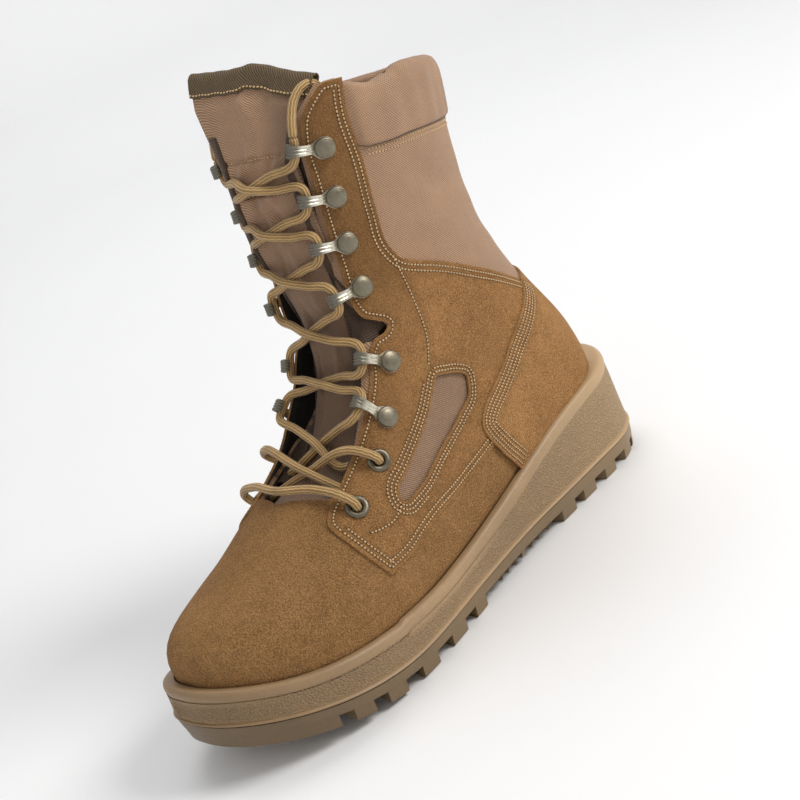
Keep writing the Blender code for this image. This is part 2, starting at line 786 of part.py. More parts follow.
def make_lace(parts, cutters):
    """The crossings as joined solids, the bar, and the two ends above the top hooks."""
    under, over = LACE / 2 + 0.9, LACE * 1.5 + 0.4
    joined_strands("lace_crossings", (lattice(1, under), lattice(-1, over)), parts, cutters)

    first, second = (EYELETS["turn"][i] for i in (0, 1))
    ring = [surface_frame(turn, math.radians(angle)) for turn, angle in zip(*EYELETS.values())]
    low = [at(ring[1], 0.5, 0, 4.0), at(ring[1], 5, 0, 4.6), at(ring[1], 10, 0, 3.0)]
    half = np.interp(second, THROAT["turn"], THROAT["half"])
    middle = (first + second) / 2
    routes = []
    for sign, lift in ((1, under), (-1, over)):
        start = low if sign > 0 else mirrored(low)
        routes.append([*start, over_tongue(middle, lift + 2), under_edge(first + 0.01, -sign, 3.6)])
    joined_strands("lace_low_crossing", routes, parts, cutters)

    bar = [at(ring[0], 0.5, 0, 4.0), at(ring[0], 5, 0, 4.6)]
    centre = form(first, 0.0) + form_normal(first, 0.0) * 4.0
    side = form(first, 0.35) + form_normal(first, 0.35) * 4.2
    half_bar = [*bar, side]
    bar_route = [*half_bar, centre, *reversed(mirrored(half_bar))]
    as_mesh(cord("lace_bar", bar_route, 10.0, parts), parts)

    for side, route in (("lateral", LACE_END), ("medial", mirrored(LACE_END))):
        cord(f"lace_end_{side}", route, 12.0, parts, sides=2)


def finish(obj):
    """Gives the object the material of its kind."""
    kind = next(kind for kind in FINISHES if obj.name.startswith(kind))
    colour, roughness, metallic = FINISHES[kind]
    material = bpy.data.materials.get(kind) or bpy.data.materials.new(kind)
    material.use_nodes = True
    shader = material.node_tree.nodes["Principled BSDF"]
    shader.inputs["Base Color"].default_value = (*colour, 1)
    shader.inputs["Roughness"].default_value = roughness
    shader.inputs["Metallic"].default_value = metallic
    if not obj.data.materials:
        obj.data.materials.append(material)


def clear_scene():
    for obj in list(bpy.data.objects):
        bpy.data.objects.remove(obj, do_unlink=True)


def collection(name):
    made = bpy.data.collections.new(name)
    bpy.context.scene.collection.children.link(made)
    return made


def main():
    clear_scene()
    parts, cutters = collection(NAME), collection(NAME + "_cutters")
    make_upper(parts, cutters)
    make_sole(parts, cutters)
    make_heel(parts, cutters)
    make_tongue(parts)
    make_collar_pad(parts)
    make_eyelets(parts)
    make_hooks(parts, cutters)
    make_lace(parts, cutters)
    for obj in parts.objects:
        finish(obj)


main()
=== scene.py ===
"""The visual model of a lace-up hiking boot, built round its packed CAD frame.

The toe points to -Y and the outer (lateral) side to +X. Shapes are worked out in
millimetres and every mesh is made in metres. The tables of the form, the throat, the
tongue, the hooks and the lugs are those that the CAD parts are made from.
"""

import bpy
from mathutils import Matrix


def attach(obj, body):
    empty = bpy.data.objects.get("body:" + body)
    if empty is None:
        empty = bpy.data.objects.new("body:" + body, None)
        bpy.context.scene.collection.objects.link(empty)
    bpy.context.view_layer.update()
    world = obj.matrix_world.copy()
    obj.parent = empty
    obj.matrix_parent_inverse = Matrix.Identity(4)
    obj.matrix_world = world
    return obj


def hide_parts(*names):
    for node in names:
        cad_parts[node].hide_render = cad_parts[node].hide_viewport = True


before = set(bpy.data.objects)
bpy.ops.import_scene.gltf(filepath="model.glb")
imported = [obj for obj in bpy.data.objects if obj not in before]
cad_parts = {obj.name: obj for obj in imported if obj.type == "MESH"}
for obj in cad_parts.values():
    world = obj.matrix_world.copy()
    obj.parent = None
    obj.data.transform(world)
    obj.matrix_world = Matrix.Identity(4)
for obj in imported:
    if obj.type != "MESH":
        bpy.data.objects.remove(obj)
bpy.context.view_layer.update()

import math

import bmesh
import bpy
import numpy as np
from bpy.props import FloatProperty, FloatVectorProperty, PointerProperty
from mathutils import Matrix, Vector, kdtree
from mathutils.geometry import delaunay_2d_cdt

bl_info = {
    "name": "Hiking Boot",
    "version": (1, 0, 0),
    "blender": (4, 5, 0),
    "location": "View3D > Sidebar > Boot",
    "description": "Builds a lace-up hiking boot's visible pieces round its CAD frame",
    "category": "Object",
}

MM = 0.001
BODY = "root"
LENGTH = 300.0
TOE_Y, HEEL_Y = -LENGTH / 2, LENGTH / 2
AXIS_X = -2.7  # the foot's centre line
SIDES = (("lateral", 1), ("medial", -1))
LUG_DEPTH = 6.0
HEEL_CORNER, TOE_CORNER = 42.0, 88.0
SPRING, SPRING_FROM = 18.0, -55.0
NOSE_Z, NOSE_Y, NOSE_CORNER = 48.0, -143.0, 82.0


def table(names, *rows):
    """The columns of a table, by name."""
    return dict(zip(names.split(), np.array(rows, float).T))


SOLE = table(
    "y lateral medial",
    (-150, 54.0, 46.0),
    (-120, 56.0, 50.0),
    (-85, 56.0, 50.5),
    (-50, 53.5, 45.0),
    (-10, 47.5, 36.0),
    (30, 43.0, 33.5),
    (70, 42.0, 37.0),
    (110, 41.0, 40.0),
    (150, 40.0, 40.0),
)
LIP = table(
    "y z", (-150, 47), (-115, 37), (-80, 31.5), (-30, 27.5), (20, 32.5), (80, 46), (150, 54.5)
)
SECTIONS = table(
    "turn low_y low_z high_y high_z lateral medial widest low_n high_n",
    (0.00, -143, 33, -143, 74, 49.5, 41.5, 0.40, 3.6, 2.2),
    (0.10, -112, 25, -111, 71, 52.0, 46.5, 0.38, 4.0, 2.2),
    (0.22, -75, 19, -72, 83, 51.5, 46.5, 0.34, 4.0, 2.2),
    (0.32, -42, 18, -38, 103, 49.0, 40.5, 0.32, 4.0, 2.2),
    (0.42, -5, 20, -23, 127, 45.0, 35.0, 0.32, 4.0, 2.2),
    (0.52, 40, 25, -16, 150, 40.5, 32.5, 0.34, 4.0, 2.2),
    (0.61, 88, 31, -13, 170, 39.0, 36.0, 0.40, 4.0, 2.2),
    (0.67, 126, 37, -12, 184, 38.5, 38.0, 0.45, 3.6, 2.2),
    (0.72, 137.0, 64.0, -11, 196, 38.0, 38.0, 0.481, 2.2, 2.2),
    (0.79, 119.8, 106.0, -10, 206, 38.0, 38.0, 0.447, 1.86, 2.2),
    (0.86, 106.6, 144.2, -9, 217, 38.0, 38.0, 0.442, 1.95, 2.2),
    (0.93, 104.9, 181.5, -8, 231, 40.0, 40.0, 0.459, 2.15, 2.2),
    (1.00, 113, 230, -8, 250, 45.0, 45.0, 0.47, 2.1, 2.2),
)
# Half the throat's opening, from the vamp's edge to the tops of the eyestays.
THROAT = table(
    "turn half",
    (0.18, 1.0),
    (0.21, 6.0),
    (0.235, 14.0),
    (0.25, 27.0),
    (0.28, 29.5),
    (0.42, 31.0),
    (0.50, 29.5),
    (0.58, 29.5),
    (0.605, 31.0),
    (0.65, 25.0),
    (0.73, 25.0),
    (0.85, 27.0),
    (0.94, 29.5),
    (0.97, 33.0),
    (1.00, 40.0),
)
TONGUE = table(
    "turn inset half back",
    (0.15, 3.4, 34, 0),
    (0.20, 4.5, 40, 0),
    (0.27, 8.2, 46, 0),
    (0.36, 10.0, 46, 0),
    (0.50, 10.0, 47, 0),
    (0.65, 9.0, 47, 0),
    (0.80, 8.0, 47, 0),
    (0.92, 6.5, 46, 3),
    (1.00, 5.5, 45, 8),
    (1.06, 5.5, 45, 12),
)
TONGUE_LEAN = np.array([0, 60, 230])  # its free end's rise along Y and Z for a whole turn
TONGUE_WALL = 3.5
TONGUE_TOP = 1.052  # the turn of its free edge
EYELETS = table("turn angle", (0.276, 48), (0.351, 51))
EYELET_PLACES = [(turn, math.radians(degrees)) for turn, degrees in zip(*EYELETS.values())]
EYELET = (2.6, 3.3, 5.3)  # radii of its bore, barrel and flange
HOOKS = table(
    "turn angle tip_out tip_y tip_z",
    (0.430, 53, 22.1, -21.7, 108.9),
    (0.534, 54, 22.9, -11.3, 128.3),
    (0.647, 45, 23.3, -8.6, 156.9),
    (0.717, 45, 25.0, -8.1, 181.4),
    (0.834, 50, 26.5, -5.0, 202.6),
    (0.925, 54, 27.7, -0.7, 224.7),
)
LACE_SEAT = (13.0, 0.7)  # the lace's reach and height inside a hook
LAST_CROSS_Z, LOW_CROSS_Z = 79.0, 86.5  # heights of the lowest lattice end and of the low cross
HIDDEN = 4.6  # depth of the lace's hidden ends under the eyestays
# The lateral end, from above its top hook to where it drops inside the collar.
LACE_END = (
    (26.6, 5.1, 229.5), (27.2, 7.7, 236.0), (27.9, 12.3, 242.6), (29.2, 17.8, 246.2),
    (30.0, 23.4, 246.0), (30.2, 27.6, 241.5), (29.8, 29.2, 234.0),
)
# Tread lugs: the two ends across, the place and the outer end's shift along Y, and the
# length along Y. An end at 99 runs to the sole's edge.
LUGS = table(
    "inner outer y sweep length",
    (27, 99, -96, -7, 13),
    (27, 99, -77, -7, 13),
    (28, 99, -57, -6, 14),
    (28, 99, -36, -5, 14),
    (26, 99, -16, -4, 12),
    (-27, -99, -95, -4, 13),
    (-27, -99, -76, -4, 13),
    (-26, -99, -57, -3, 13),
    (-24, -99, -37, -2, 13),
    (-22, -99, -17, -1, 12),
    (9, 23, -88, -4, 11),
    (9, 23, -69, -4, 11),
    (9, 23, -50, -4, 11),
    (9, 22, -31, -4, 11),
    (-10, -23, -87, -4, 11),
    (-10, -23, -68, -4, 11),
    (-10, -22, -49, -4, 11),
    (-8, -20, -30, -4, 11),
    (-7, 5, -79, 0, 10),
    (-7, 5, -60, 0, 10),
    (-6, 5, -41, 0, 10),
    (-6, 5, -22, 0, 10),
    (23, 99, 60, 3, 13),
    (22, 99, 79, 3, 12),
    (22, 99, 98, 4, 12),
    (19, 99, 117, 5, 12),
    (-23, -99, 60, 3, 13),
    (-24, -99, 79, 3, 12),
    (-24, -99, 98, 4, 12),
    (-21, -99, 117, 5, 12),
    (-15, 13, 66, 0, 22),
    (-15, 13, 95, 0, 22),
)
SWEPT = 30.0  # an outer end's shift is reached this far out
TOE_LUG_Y, HEEL_LUG_Y = -109.0, 129.0  # the toe and heel blocks run from here to the ends
SHANK_RIBS, RIB = 7, 4.0
SHANK_FROM, SHANK_TO = -3.0, 47.0
SHANK_DEPTH = 3.0

# Soft troughs (negative) and ridges of the upper: two ends from the side as y and z,
# half width and height. The last column is 1 or -1 for one side only, or 0.
FOLDS = (
    (118, 133, 84, 146, 6.0, 1.3, 0),
    (116, 143, 78, 156, 4.5, -1.4, 0),
    (114, 152, 80, 168, 7.0, 1.1, 0),
    (108, 168, 70, 178, 5.0, -0.8, 0),
    (46, 196, 74, 172, 6.0, -0.7, 1),
    (60, 200, 92, 184, 6.0, 0.6, 0),
    (40, 172, 62, 160, 5.0, 0.6, 1),
    (48, 188, 66, 190, 5.0, -0.5, -1),
    (-58, 86, -50, 50, 7.0, -0.7, 0),
    (-70, 84, -66, 46, 8.0, 0.5, 0),
    (-92, 78, -88, 50, 9.0, -0.4, 0),
    (60, 128, 20, 118, 8.0, -0.5, 0),
    (72, 118, 40, 100, 8.0, 0.4, 0),
    (-10, 96, 12, 120, 7.0, -0.4, 0),
)


def smooth(xs, ys, at):
    """A smooth curve through ys at xs, read at one or many places."""
    at = np.clip(np.asarray(at, float), xs[0], xs[-1])
    step = np.diff(xs)
    rise = np.diff(ys) / step
    slope = np.empty_like(ys)
    slope[1:-1] = (rise[:-1] * step[1:] + rise[1:] * step[:-1]) / (step[:-1] + step[1:])
    slope[0] = 1.5 * rise[0] - 0.5 * slope[1]
    slope[-1] = 1.5 * rise[-1] - 0.5 * slope[-2]
    i = np.clip(np.searchsorted(xs, at) - 1, 0, len(step) - 1)
    t = (at - xs[i]) / step[i]
    ends = (2 * t**3 - 3 * t**2 + 1) * ys[i] + (3 * t**2 - 2 * t**3) * ys[i + 1]
    return ends + step[i] * ((t**3 - 2 * t**2 + t) * slope[i] + (t**3 - t**2) * slope[i + 1])


def through(columns, name, key, at):
    """A smooth curve through a table's column."""
    return smooth(columns[key], columns[name], at)


def unit(vectors):
    return vectors / np.maximum(np.linalg.norm(vectors, axis=-1, keepdims=True), 1e-9)


def lengths_along(points):
    """The length along a chain at each of its points."""
    return np.concatenate([[0], np.cumsum(np.linalg.norm(np.diff(points, axis=0), axis=1))])


def sampled(points, steps, at):
    """A chain's points at some lengths along it."""
    return np.stack([np.interp(at, steps, axis) for axis in points.T], -1)


def search_tree(points):
    tree = kdtree.KDTree(len(points))
    for i, point in enumerate(points):
        tree.insert(point, i)
    tree.balance()
    return tree


def gaps(points, chain):
    """The distance from each point to the nearest point of a chain."""
    tree = search_tree(chain)
    return np.array([tree.find(point)[2] for point in points])


def smooth_route(route, spacing):
    """Points on a smooth curve through the route, the route's own points among them."""
    route = np.array(route, float)
    steps = lengths_along(route)
    places = [
        np.linspace(start, end, math.ceil((end - start) / spacing), endpoint=False)
        for start, end in zip(steps, steps[1:])
    ]
    places = np.concatenate([*places, steps[-1:]])
    return np.stack([smooth(steps, axis, places) for axis in route.T], -1)


def even(points, spacing):
    """Points along a chain at even steps, its ends kept."""
    steps = lengths_along(points)
    return sampled(points, steps, even_steps(steps, spacing))


def even_steps(steps, spacing):
    return np.linspace(0, steps[-1], max(2, round(steps[-1] / spacing) + 1))


def round_end(depth, n):
    """0 at an end, rising to 1 as depth reaches 1, like a quarter of a superellipse."""
    return (1 - (1 - np.clip(depth, 0, 1)) ** n) ** (1 / n)


def ease(value, low, high):
    """0 below low, 1 above high, smooth between."""
    t = np.clip((np.asarray(value, float) - low) / (high - low), 0, 1)
    return t * t * (3 - 2 * t)


def hump(value, middle, width):
    """1 at the middle, fading to both sides."""
    return np.exp(-(((value - middle) / width) ** 2))


def toe_shift(y):
    """How far the toe bends toward the inner side."""
    return -4.0 * np.clip((-y - 60) / 90, 0, 1) ** 2


def spring(y):
    """Height of the tread's lowest face."""
    return SPRING * np.clip((SPRING_FROM - y) / (SPRING_FROM - TOE_Y), 0, 1) ** 1.8


def split_z(y):
    """Height of the joint between outsole and midsole."""
    return 12.9 - 1.5 * np.clip((HEEL_Y - y) / 200, 0, 1) + spring(y)


def lip_z(y):
    return through(LIP, "z", "y", y)


# ---- the form ----


def from_front(angle):
    """The angle from a section's front, between -pi and pi."""
    return (np.asarray(angle) + np.pi) % (2 * np.pi) - np.pi


def form(turn, angle):
    """Points of the upper's form. The angle is 0 at the front or top of a section, pi at
    its low point, and negative or past pi on the inner side."""
    turn, angle = np.broadcast_arrays(np.asarray(turn, float), np.asarray(angle, float))
    angle = from_front(angle)
    row = {name: through(SECTIONS, name, "turn", turn) for name in SECTIONS if name != "turn"}
    depth = (row["low_y"] - NOSE_Y) / NOSE_CORNER
    high_z = NOSE_Z + (row["high_z"] - NOSE_Z) * round_end(depth * 1.6, 2.3)
    low_z = NOSE_Z + (row["low_z"] - NOSE_Z) * round_end(depth * 4.0, 2.0)
    half = np.where(angle >= 0, row["lateral"], row["medial"]) * round_end(depth, 2.25)
    along, across = np.abs(np.cos(angle)), np.abs(np.sin(angle))
    high, n, widest = np.cos(angle) >= 0, row["low_n"], row["widest"]
    size = (along**n + across**n) ** (1 / n)
    reach = np.where(high, along ** (2 / row["high_n"]), along / size)
    out = np.where(high, across ** (2 / row["high_n"]), across / size)
    up = np.where(high, widest + (1 - widest) * reach, widest - widest * reach)
    x = AXIS_X + toe_shift(row["low_y"]) + np.where(angle >= 0, 1, -1) * half * out
    y = row["low_y"] + (row["high_y"] - row["low_y"]) * up
    z = low_z + (high_z - low_z) * up
    return np.stack([x, y, z], -1)


def form_normal(turn, angle):
    """The form's outward normals."""
    step = 0.002
    turn = np.clip(turn, 0.01, 1 - step)
    along = form(turn + step, angle) - form(turn - step, angle)
    across = form(turn, angle + step) - form(turn, angle - step)
    return unit(np.cross(across, along))


def folds(points):
    """Height of the upper's soft creases at points of the form."""
    y, z, side = points[..., 1], points[..., 2], np.sign(points[..., 0] - AXIS_X)
    total = np.zeros_like(y)
    for y0, z0, y1, z1, width, height, only in FOLDS:
        dy, dz = y1 - y0, z1 - z0
        t = np.clip(((y - y0) * dy + (z - z0) * dz) / (dy * dy + dz * dz), 0, 1)
        gap = np.hypot(y - y0 - t * dy, z - z0 - t * dz)
        fade = np.sin(np.pi * np.clip(t, 0.12, 0.88)) ** 0.7
        total += np.where(only * side >= 0, height * fade * hump(gap, 0, width), 0)
    return total * ease(np.abs(points[..., 0] - AXIS_X), 20, 32)


def skin(turn, angle, lift=0.0):
    """Points at a height over the form and its creases."""
    points = form(turn, angle)
    rise = folds(points) + lift
    return points + form_normal(turn, angle) * np.asarray(rise)[..., None]


def settled(points, places):
    """The turn and angle whose form point is nearest to each point, from a first guess."""
    places, step = np.array(places, float), 1e-4
    for _ in range(6):
        turn, angle = places.T
        here = form(turn, angle)
        slopes = np.stack(
            [(form(turn + step, angle) - here) / step, (form(turn, angle + step) - here) / step], -1
        )
        square = np.einsum("nik,nil->nkl", slopes, slopes) + np.eye(2) * 1e-6
        push = np.einsum("nik,ni->nk", slopes, points - here)
        places += np.linalg.solve(square, push[..., None])[..., 0]
        places[:, 0] = np.clip(places[:, 0], 0.003, 1 - 2 * step)
    return places


def guess_tree():
    """Sampled places on the form, to start a search from."""
    turns, angles = np.meshgrid(np.linspace(0.01, 1, 150), np.linspace(-np.pi, np.pi, 181))
    places = np.column_stack([turns.ravel(), angles.ravel()])
    return search_tree(form(*places.T)), places


GUESSES = guess_tree()


def on_form(points, side):
    """The turn and angle of each point of the outer side, or of its match on the inner."""
    points = np.array(points, float)
    tree, places = GUESSES
    found = settled(points, [places[tree.find(point)[1]] for point in points])
    return found * [1, side]


# ---- the lace's and hooks' places ----


def surface_frame(turn, angle, toward=None):
    """A frame in metres on the form, +Z along its normal and +X toward a point, or else
    toward the throat."""
    point = Vector(form(turn, angle))
    out = Vector(form_normal(turn, angle))
    front = (Vector((AXIS_X, point.y, point.z)) if toward is None else toward) - point
    front -= out * out.dot(front)
    front.normalize()
    side = out.cross(front)
    turned = Matrix((front, side, out)).transposed().to_4x4()
    return Matrix.Translation(point * MM) @ turned


def hook_frame(i, sign):
    turn, angle = HOOKS["turn"][i], sign * math.radians(HOOKS["angle"][i])
    tip = (AXIS_X + sign * HOOKS["tip_out"][i], HOOKS["tip_y"][i], HOOKS["tip_z"][i])
    return surface_frame(turn, angle, Vector(tip))


def at(place, x, y, z):
    """A point of a frame, in millimetres."""
    return np.array(place @ Vector((x * MM, y * MM, z * MM))) / MM


def hook_pass(i, sign):
    """The lace's points down through one hook."""
    place = hook_frame(i, sign)
    reach, height = LACE_SEAT
    upward = 1 if at(place, 0, 1, 0)[2] > at(place, 0, -1, 0)[2] else -1
    steps = ((0.4, 4.6, -0.2), (0, 2.2, 0), (0, -2.2, 0), (0.4, -4.6, -0.2))
    return [at(place, reach + front, upward * up, height + out) for front, up, out in steps]


def tongue_at(turn, spread, lift):
    """Points over the tongue's outer face. Spread runs from -1 to 1 across it."""
    turn, spread = np.broadcast_arrays(np.asarray(turn, float), np.asarray(spread, float))
    inset, half, back = (through(TONGUE, name, "turn", turn) for name in ("inset", "half", "back"))
    on_it, angle = np.minimum(turn, 1.0), np.radians(half) * spread
    depth = (inset - lift)[..., None]
    points = form(on_it, angle) - form_normal(on_it, angle) * depth
    points += TONGUE_LEAN * (turn - on_it)[..., None]
    points[..., 1] += back * np.cos(spread * np.pi / 2)
    return points


def tongue_face(turn, spread, lift=0.0):
    """Points over the soft tongue: flatter than its section between the hooks, and
    flared at its free top."""
    turn, spread = np.broadcast_arrays(np.asarray(turn, float), np.asarray(spread, float))
    sunk = 4.0 * ease(turn, 0.26, 0.31) * (1 - ease(turn, 0.46, 0.56))
    wrapped = tongue_at(turn, spread, lift - sunk * (1 - 0.5 * spread**2))
    middle = tongue_at(turn, 0.0, lift)
    free, inner = ease(turn, 0.86, 1.07), spread < 0
    away = np.abs(spread)
    flat = middle.copy()
    flat[..., 0] += spread * (23.5 + 10.5 * free)
    back = np.where(inner, 0.8 * away**3, 5.0 * away**2.4)
    flat[..., 1] += 7 * free + (1 - free) * back + free * away * np.where(inner, -5.7, 4.0)
    flat[..., 2] += -2 * free - spread * (1 + free * np.where(inner, 4.0, 12.0))
    share = ease(turn, 0.54, 0.67)[..., None]
    return wrapped * (1 - share) + flat * share


def over_tongue(height, out, spread=0.0):
    """A point over the tongue where its middle has this height."""
    turns = np.linspace(0.2, 1, 400)
    turn = np.interp(height, tongue_face(turns, 0.0)[:, 2], turns)
    return tongue_face(turn, spread, out)


def edge_angle(turn, side, extra=0.0):
    """The angle at which the throat's edge crosses a section."""
    half = np.interp(turn, THROAT["turn"], THROAT["half"], left=0.0) + extra
    half = np.where(np.asarray(turn) < THROAT["turn"][0], 0.0, np.maximum(half, 0.0))
    depth = (through(SECTIONS, "low_y", "turn", turn) - NOSE_Y) / NOSE_CORNER
    name = "lateral" if side > 0 else "medial"
    breadth = through(SECTIONS, name, "turn", turn) * round_end(depth, 2.25)
    n = through(SECTIONS, "high_n", "turn", turn)
    return np.arcsin(np.clip(half / np.maximum(breadth, 1), 0, 1) ** (n / 2))


def under_edge(turn, sign):
    """A point just behind the throat's edge and under the upper."""
    angle = sign * edge_angle(turn, sign, 2.0)
    return form(turn, angle) - form_normal(turn, angle) * HIDDEN


def lattice(sign, under, over):
    """One strand from its top hook down to the throat's edge above the eyelets. It
    passes over the other strand on its way from the inner side to the outer."""
    route, heights = [], HOOKS["tip_z"]
    for i in reversed(range(len(heights))):
        route += hook_pass(i, sign)
        below = heights[i - 1] if i else LAST_CROSS_Z
        middle, drop = (heights[i] + below) / 2, (heights[i] - below) * 0.15
        crossing = over_tongue(middle, under if sign > 0 else over)
        after = hook_pass(i - 1, -sign) if i else [under_edge(EYELETS["turn"][-1] - 0.02, -sign)]
        first = taut(over_tongue(middle + drop, under, sign * 0.5), route[-1], crossing)
        last = taut(over_tongue(middle - drop, under, -sign * 0.5), after[0], crossing)
        route += [first, crossing, last]
        sign = -sign
    return [*route, after[0]]


def taut(low, start, end):
    """A point of a tight lace between two others: on the line, or on the tongue if that
    stands out further."""
    start, end = np.asarray(start), np.asarray(end)
    line = start + (end - start) * np.clip((low[0] - start[0]) / (end[0] - start[0]), 0, 1)
    return line if line[2] * 0.4 - line[1] > low[2] * 0.4 - low[1] else low


def mirrored(route):
    """A route's match on the inner side."""
    return [(2 * AXIS_X - x, y, z) for x, y, z in route]


def outline(grow, count=150):
    """The sole's outline from the heel along the outer side to the toe and back along
    the inner side. Points i and -1 - i have the same y before they are grown."""
    y = HEEL_Y * np.cos(np.linspace(0.03, np.pi - 0.03, count))
    ends = round_end((HEEL_Y - y) / HEEL_CORNER, 2.1) * round_end((y - TOE_Y) / TOE_CORNER, 2.25)
    sides = [
        AXIS_X + toe_shift(y) + sign * through(SOLE, side, "y", y) * ends for side, sign in SIDES
    ]
    x = np.concatenate([sides[0], sides[1][::-1]])
    y = np.concatenate([y, y[::-1]])
    tangent = np.stack([np.roll(x, -1) - np.roll(x, 1), np.roll(y, -1) - np.roll(y, 1)])
    tangent /= np.linalg.norm(tangent, axis=0)
    return np.stack([x - grow * tangent[1], y + grow * tangent[0]], -1)


# ---- meshes ----


def to_mesh(bm, name, sharp=None):
    """A mesh in metres from a bmesh in millimetres."""
    bmesh.ops.scale(bm, vec=(MM, MM, MM), verts=bm.verts)
    mesh = bpy.data.meshes.new(name)
    bm.to_mesh(mesh)
    bm.free()
    mesh.shade_smooth()
    if sharp:
        mesh.set_sharp_from_angle(angle=math.radians(sharp))
    return mesh


def woven(points, cloth=None, merge=0.0):
    """A grid laid over rows of points, with its place on the cloth in millimetres."""
    points = np.asarray(points, float)
    rows, columns = points.shape[:2]
    bm = bmesh.new()
    layer = bm.loops.layers.uv.new("cloth")
    bmesh.ops.create_grid(bm, x_segments=columns - 1, y_segments=rows - 1, size=1)
    bm.verts.ensure_lookup_table()
    spots = [
        (round((vert.co.y + 1) / 2 * (rows - 1)), round((vert.co.x + 1) / 2 * (columns - 1)))
        for vert in bm.verts
    ]
    if cloth is not None:
        for face in bm.faces:
            for loop in face.loops:
                loop[layer].uv = cloth[spots[loop.vert.index]]
    for vert, spot in zip(bm.verts, spots):
        vert.co = points[spot]
    if merge:
        bmesh.ops.remove_doubles(bm, verts=bm.verts, dist=merge)
    return bm


def arc_lengths(points, axis):
    """Lengths along the rows (axis 1) or columns (axis 0) of a grid of points."""
    steps = np.linalg.norm(np.diff(points, axis=axis), axis=-1)
    start = np.zeros_like(steps[:1] if axis == 0 else steps[:, :1])
    return np.cumsum(np.concatenate([start, steps], axis), axis)


def outward(bm):
    """Turns every face out, which suits closed shapes."""
    bmesh.ops.recalc_face_normals(bm, faces=bm.faces)
    return bm


def link(name, data):
    """A new object in the scene."""
    obj = bpy.data.objects.new(name, data)
    bpy.context.scene.collection.objects.link(obj)
    return obj


def place_piece(name, mesh, finishes, node=None):
    """Links a piece that rides on the boot, with its materials and the node it stands for."""
    obj = link(name, mesh if isinstance(mesh, bpy.types.Mesh) else to_mesh(mesh, name))
    for finish in finishes.split():
        obj.data.materials.append(finished(finish))
    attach(obj, BODY)
    if node:
        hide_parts(node)
    return obj


def thicken(obj, thickness, offset=-1.0, inner=0, rim=0, edge=0.25, segments=2):
    """Gives a sheet its thickness and rounds its cut edges."""
    wall = obj.modifiers.new("wall", "SOLIDIFY")
    wall.thickness = thickness * MM
    wall.offset = offset
    wall.use_even_offset = False
    wall.material_offset = inner
    wall.material_offset_rim = rim
    if edge:
        rounded = obj.modifiers.new("edge", "BEVEL")
        rounded.width = edge * MM
        rounded.segments = segments
        rounded.limit_method = "ANGLE"
        rounded.angle_limit = math.radians(55)
        rounded.use_clamp_overlap = True
        rounded.harden_normals = True


def applied(obj):
    """Replaces an object's mesh by what its modifiers make of it."""
    graph = bpy.context.evaluated_depsgraph_get()
    mesh = bpy.data.meshes.new_from_object(obj.evaluated_get(graph))
    obj.modifiers.clear()
    obj.data = mesh


def inside(points, loops):
    """Which points of the plane lie between the loops."""
    within = np.zeros(len(points), bool)
    x, y = points.T
    for loop in loops:
        for (x0, y0), (x1, y1) in zip(loop, np.roll(loop, -1, 0)):
            if y0 != y1:
                across = (y0 > y) != (y1 > y)
                within ^= across & (x < (x1 - x0) * (y - y0) / (y1 - y0) + x0)
    return within


def fill(loops, lines, spacing):
    """Triangles over the part of the plane between closed loops, with lines as edges."""
    points, edges = [], []
    for closed, chain in [(True, loop) for loop in loops] + [(False, line) for line in lines]:
        first, count = len(points), len(chain)
        points += [Vector(point) for point in chain]
        edges += [(first + i, first + i + 1) for i in range(count - 1)]
        if closed:
            edges.append((first + count - 1, first))
    tree = search_tree([(*point, 0) for point in points])
    low, high = loops[0].min(0), loops[0].max(0)
    spread = np.array(
        [
            (x + (row % 2) * spacing / 2, y)
            for row, y in enumerate(np.arange(low[1], high[1], spacing * 0.87))
            for x in np.arange(low[0], high[0], spacing)
        ]
    )
    for point in spread[inside(spread, loops)]:
        if tree.find((*point, 0))[2] > spacing * 0.62:
            points.append(Vector(point))
    verts, _, faces, *_ = delaunay_2d_cdt(points, edges, [], 0, 1e-5, True)
    verts, faces = np.array(verts), np.array(faces)
    return verts, faces[inside(verts[faces].mean(1), loops)]


PLANE = np.array([420.0, 45.0])  # millimetres of the pattern for a whole turn and a radian


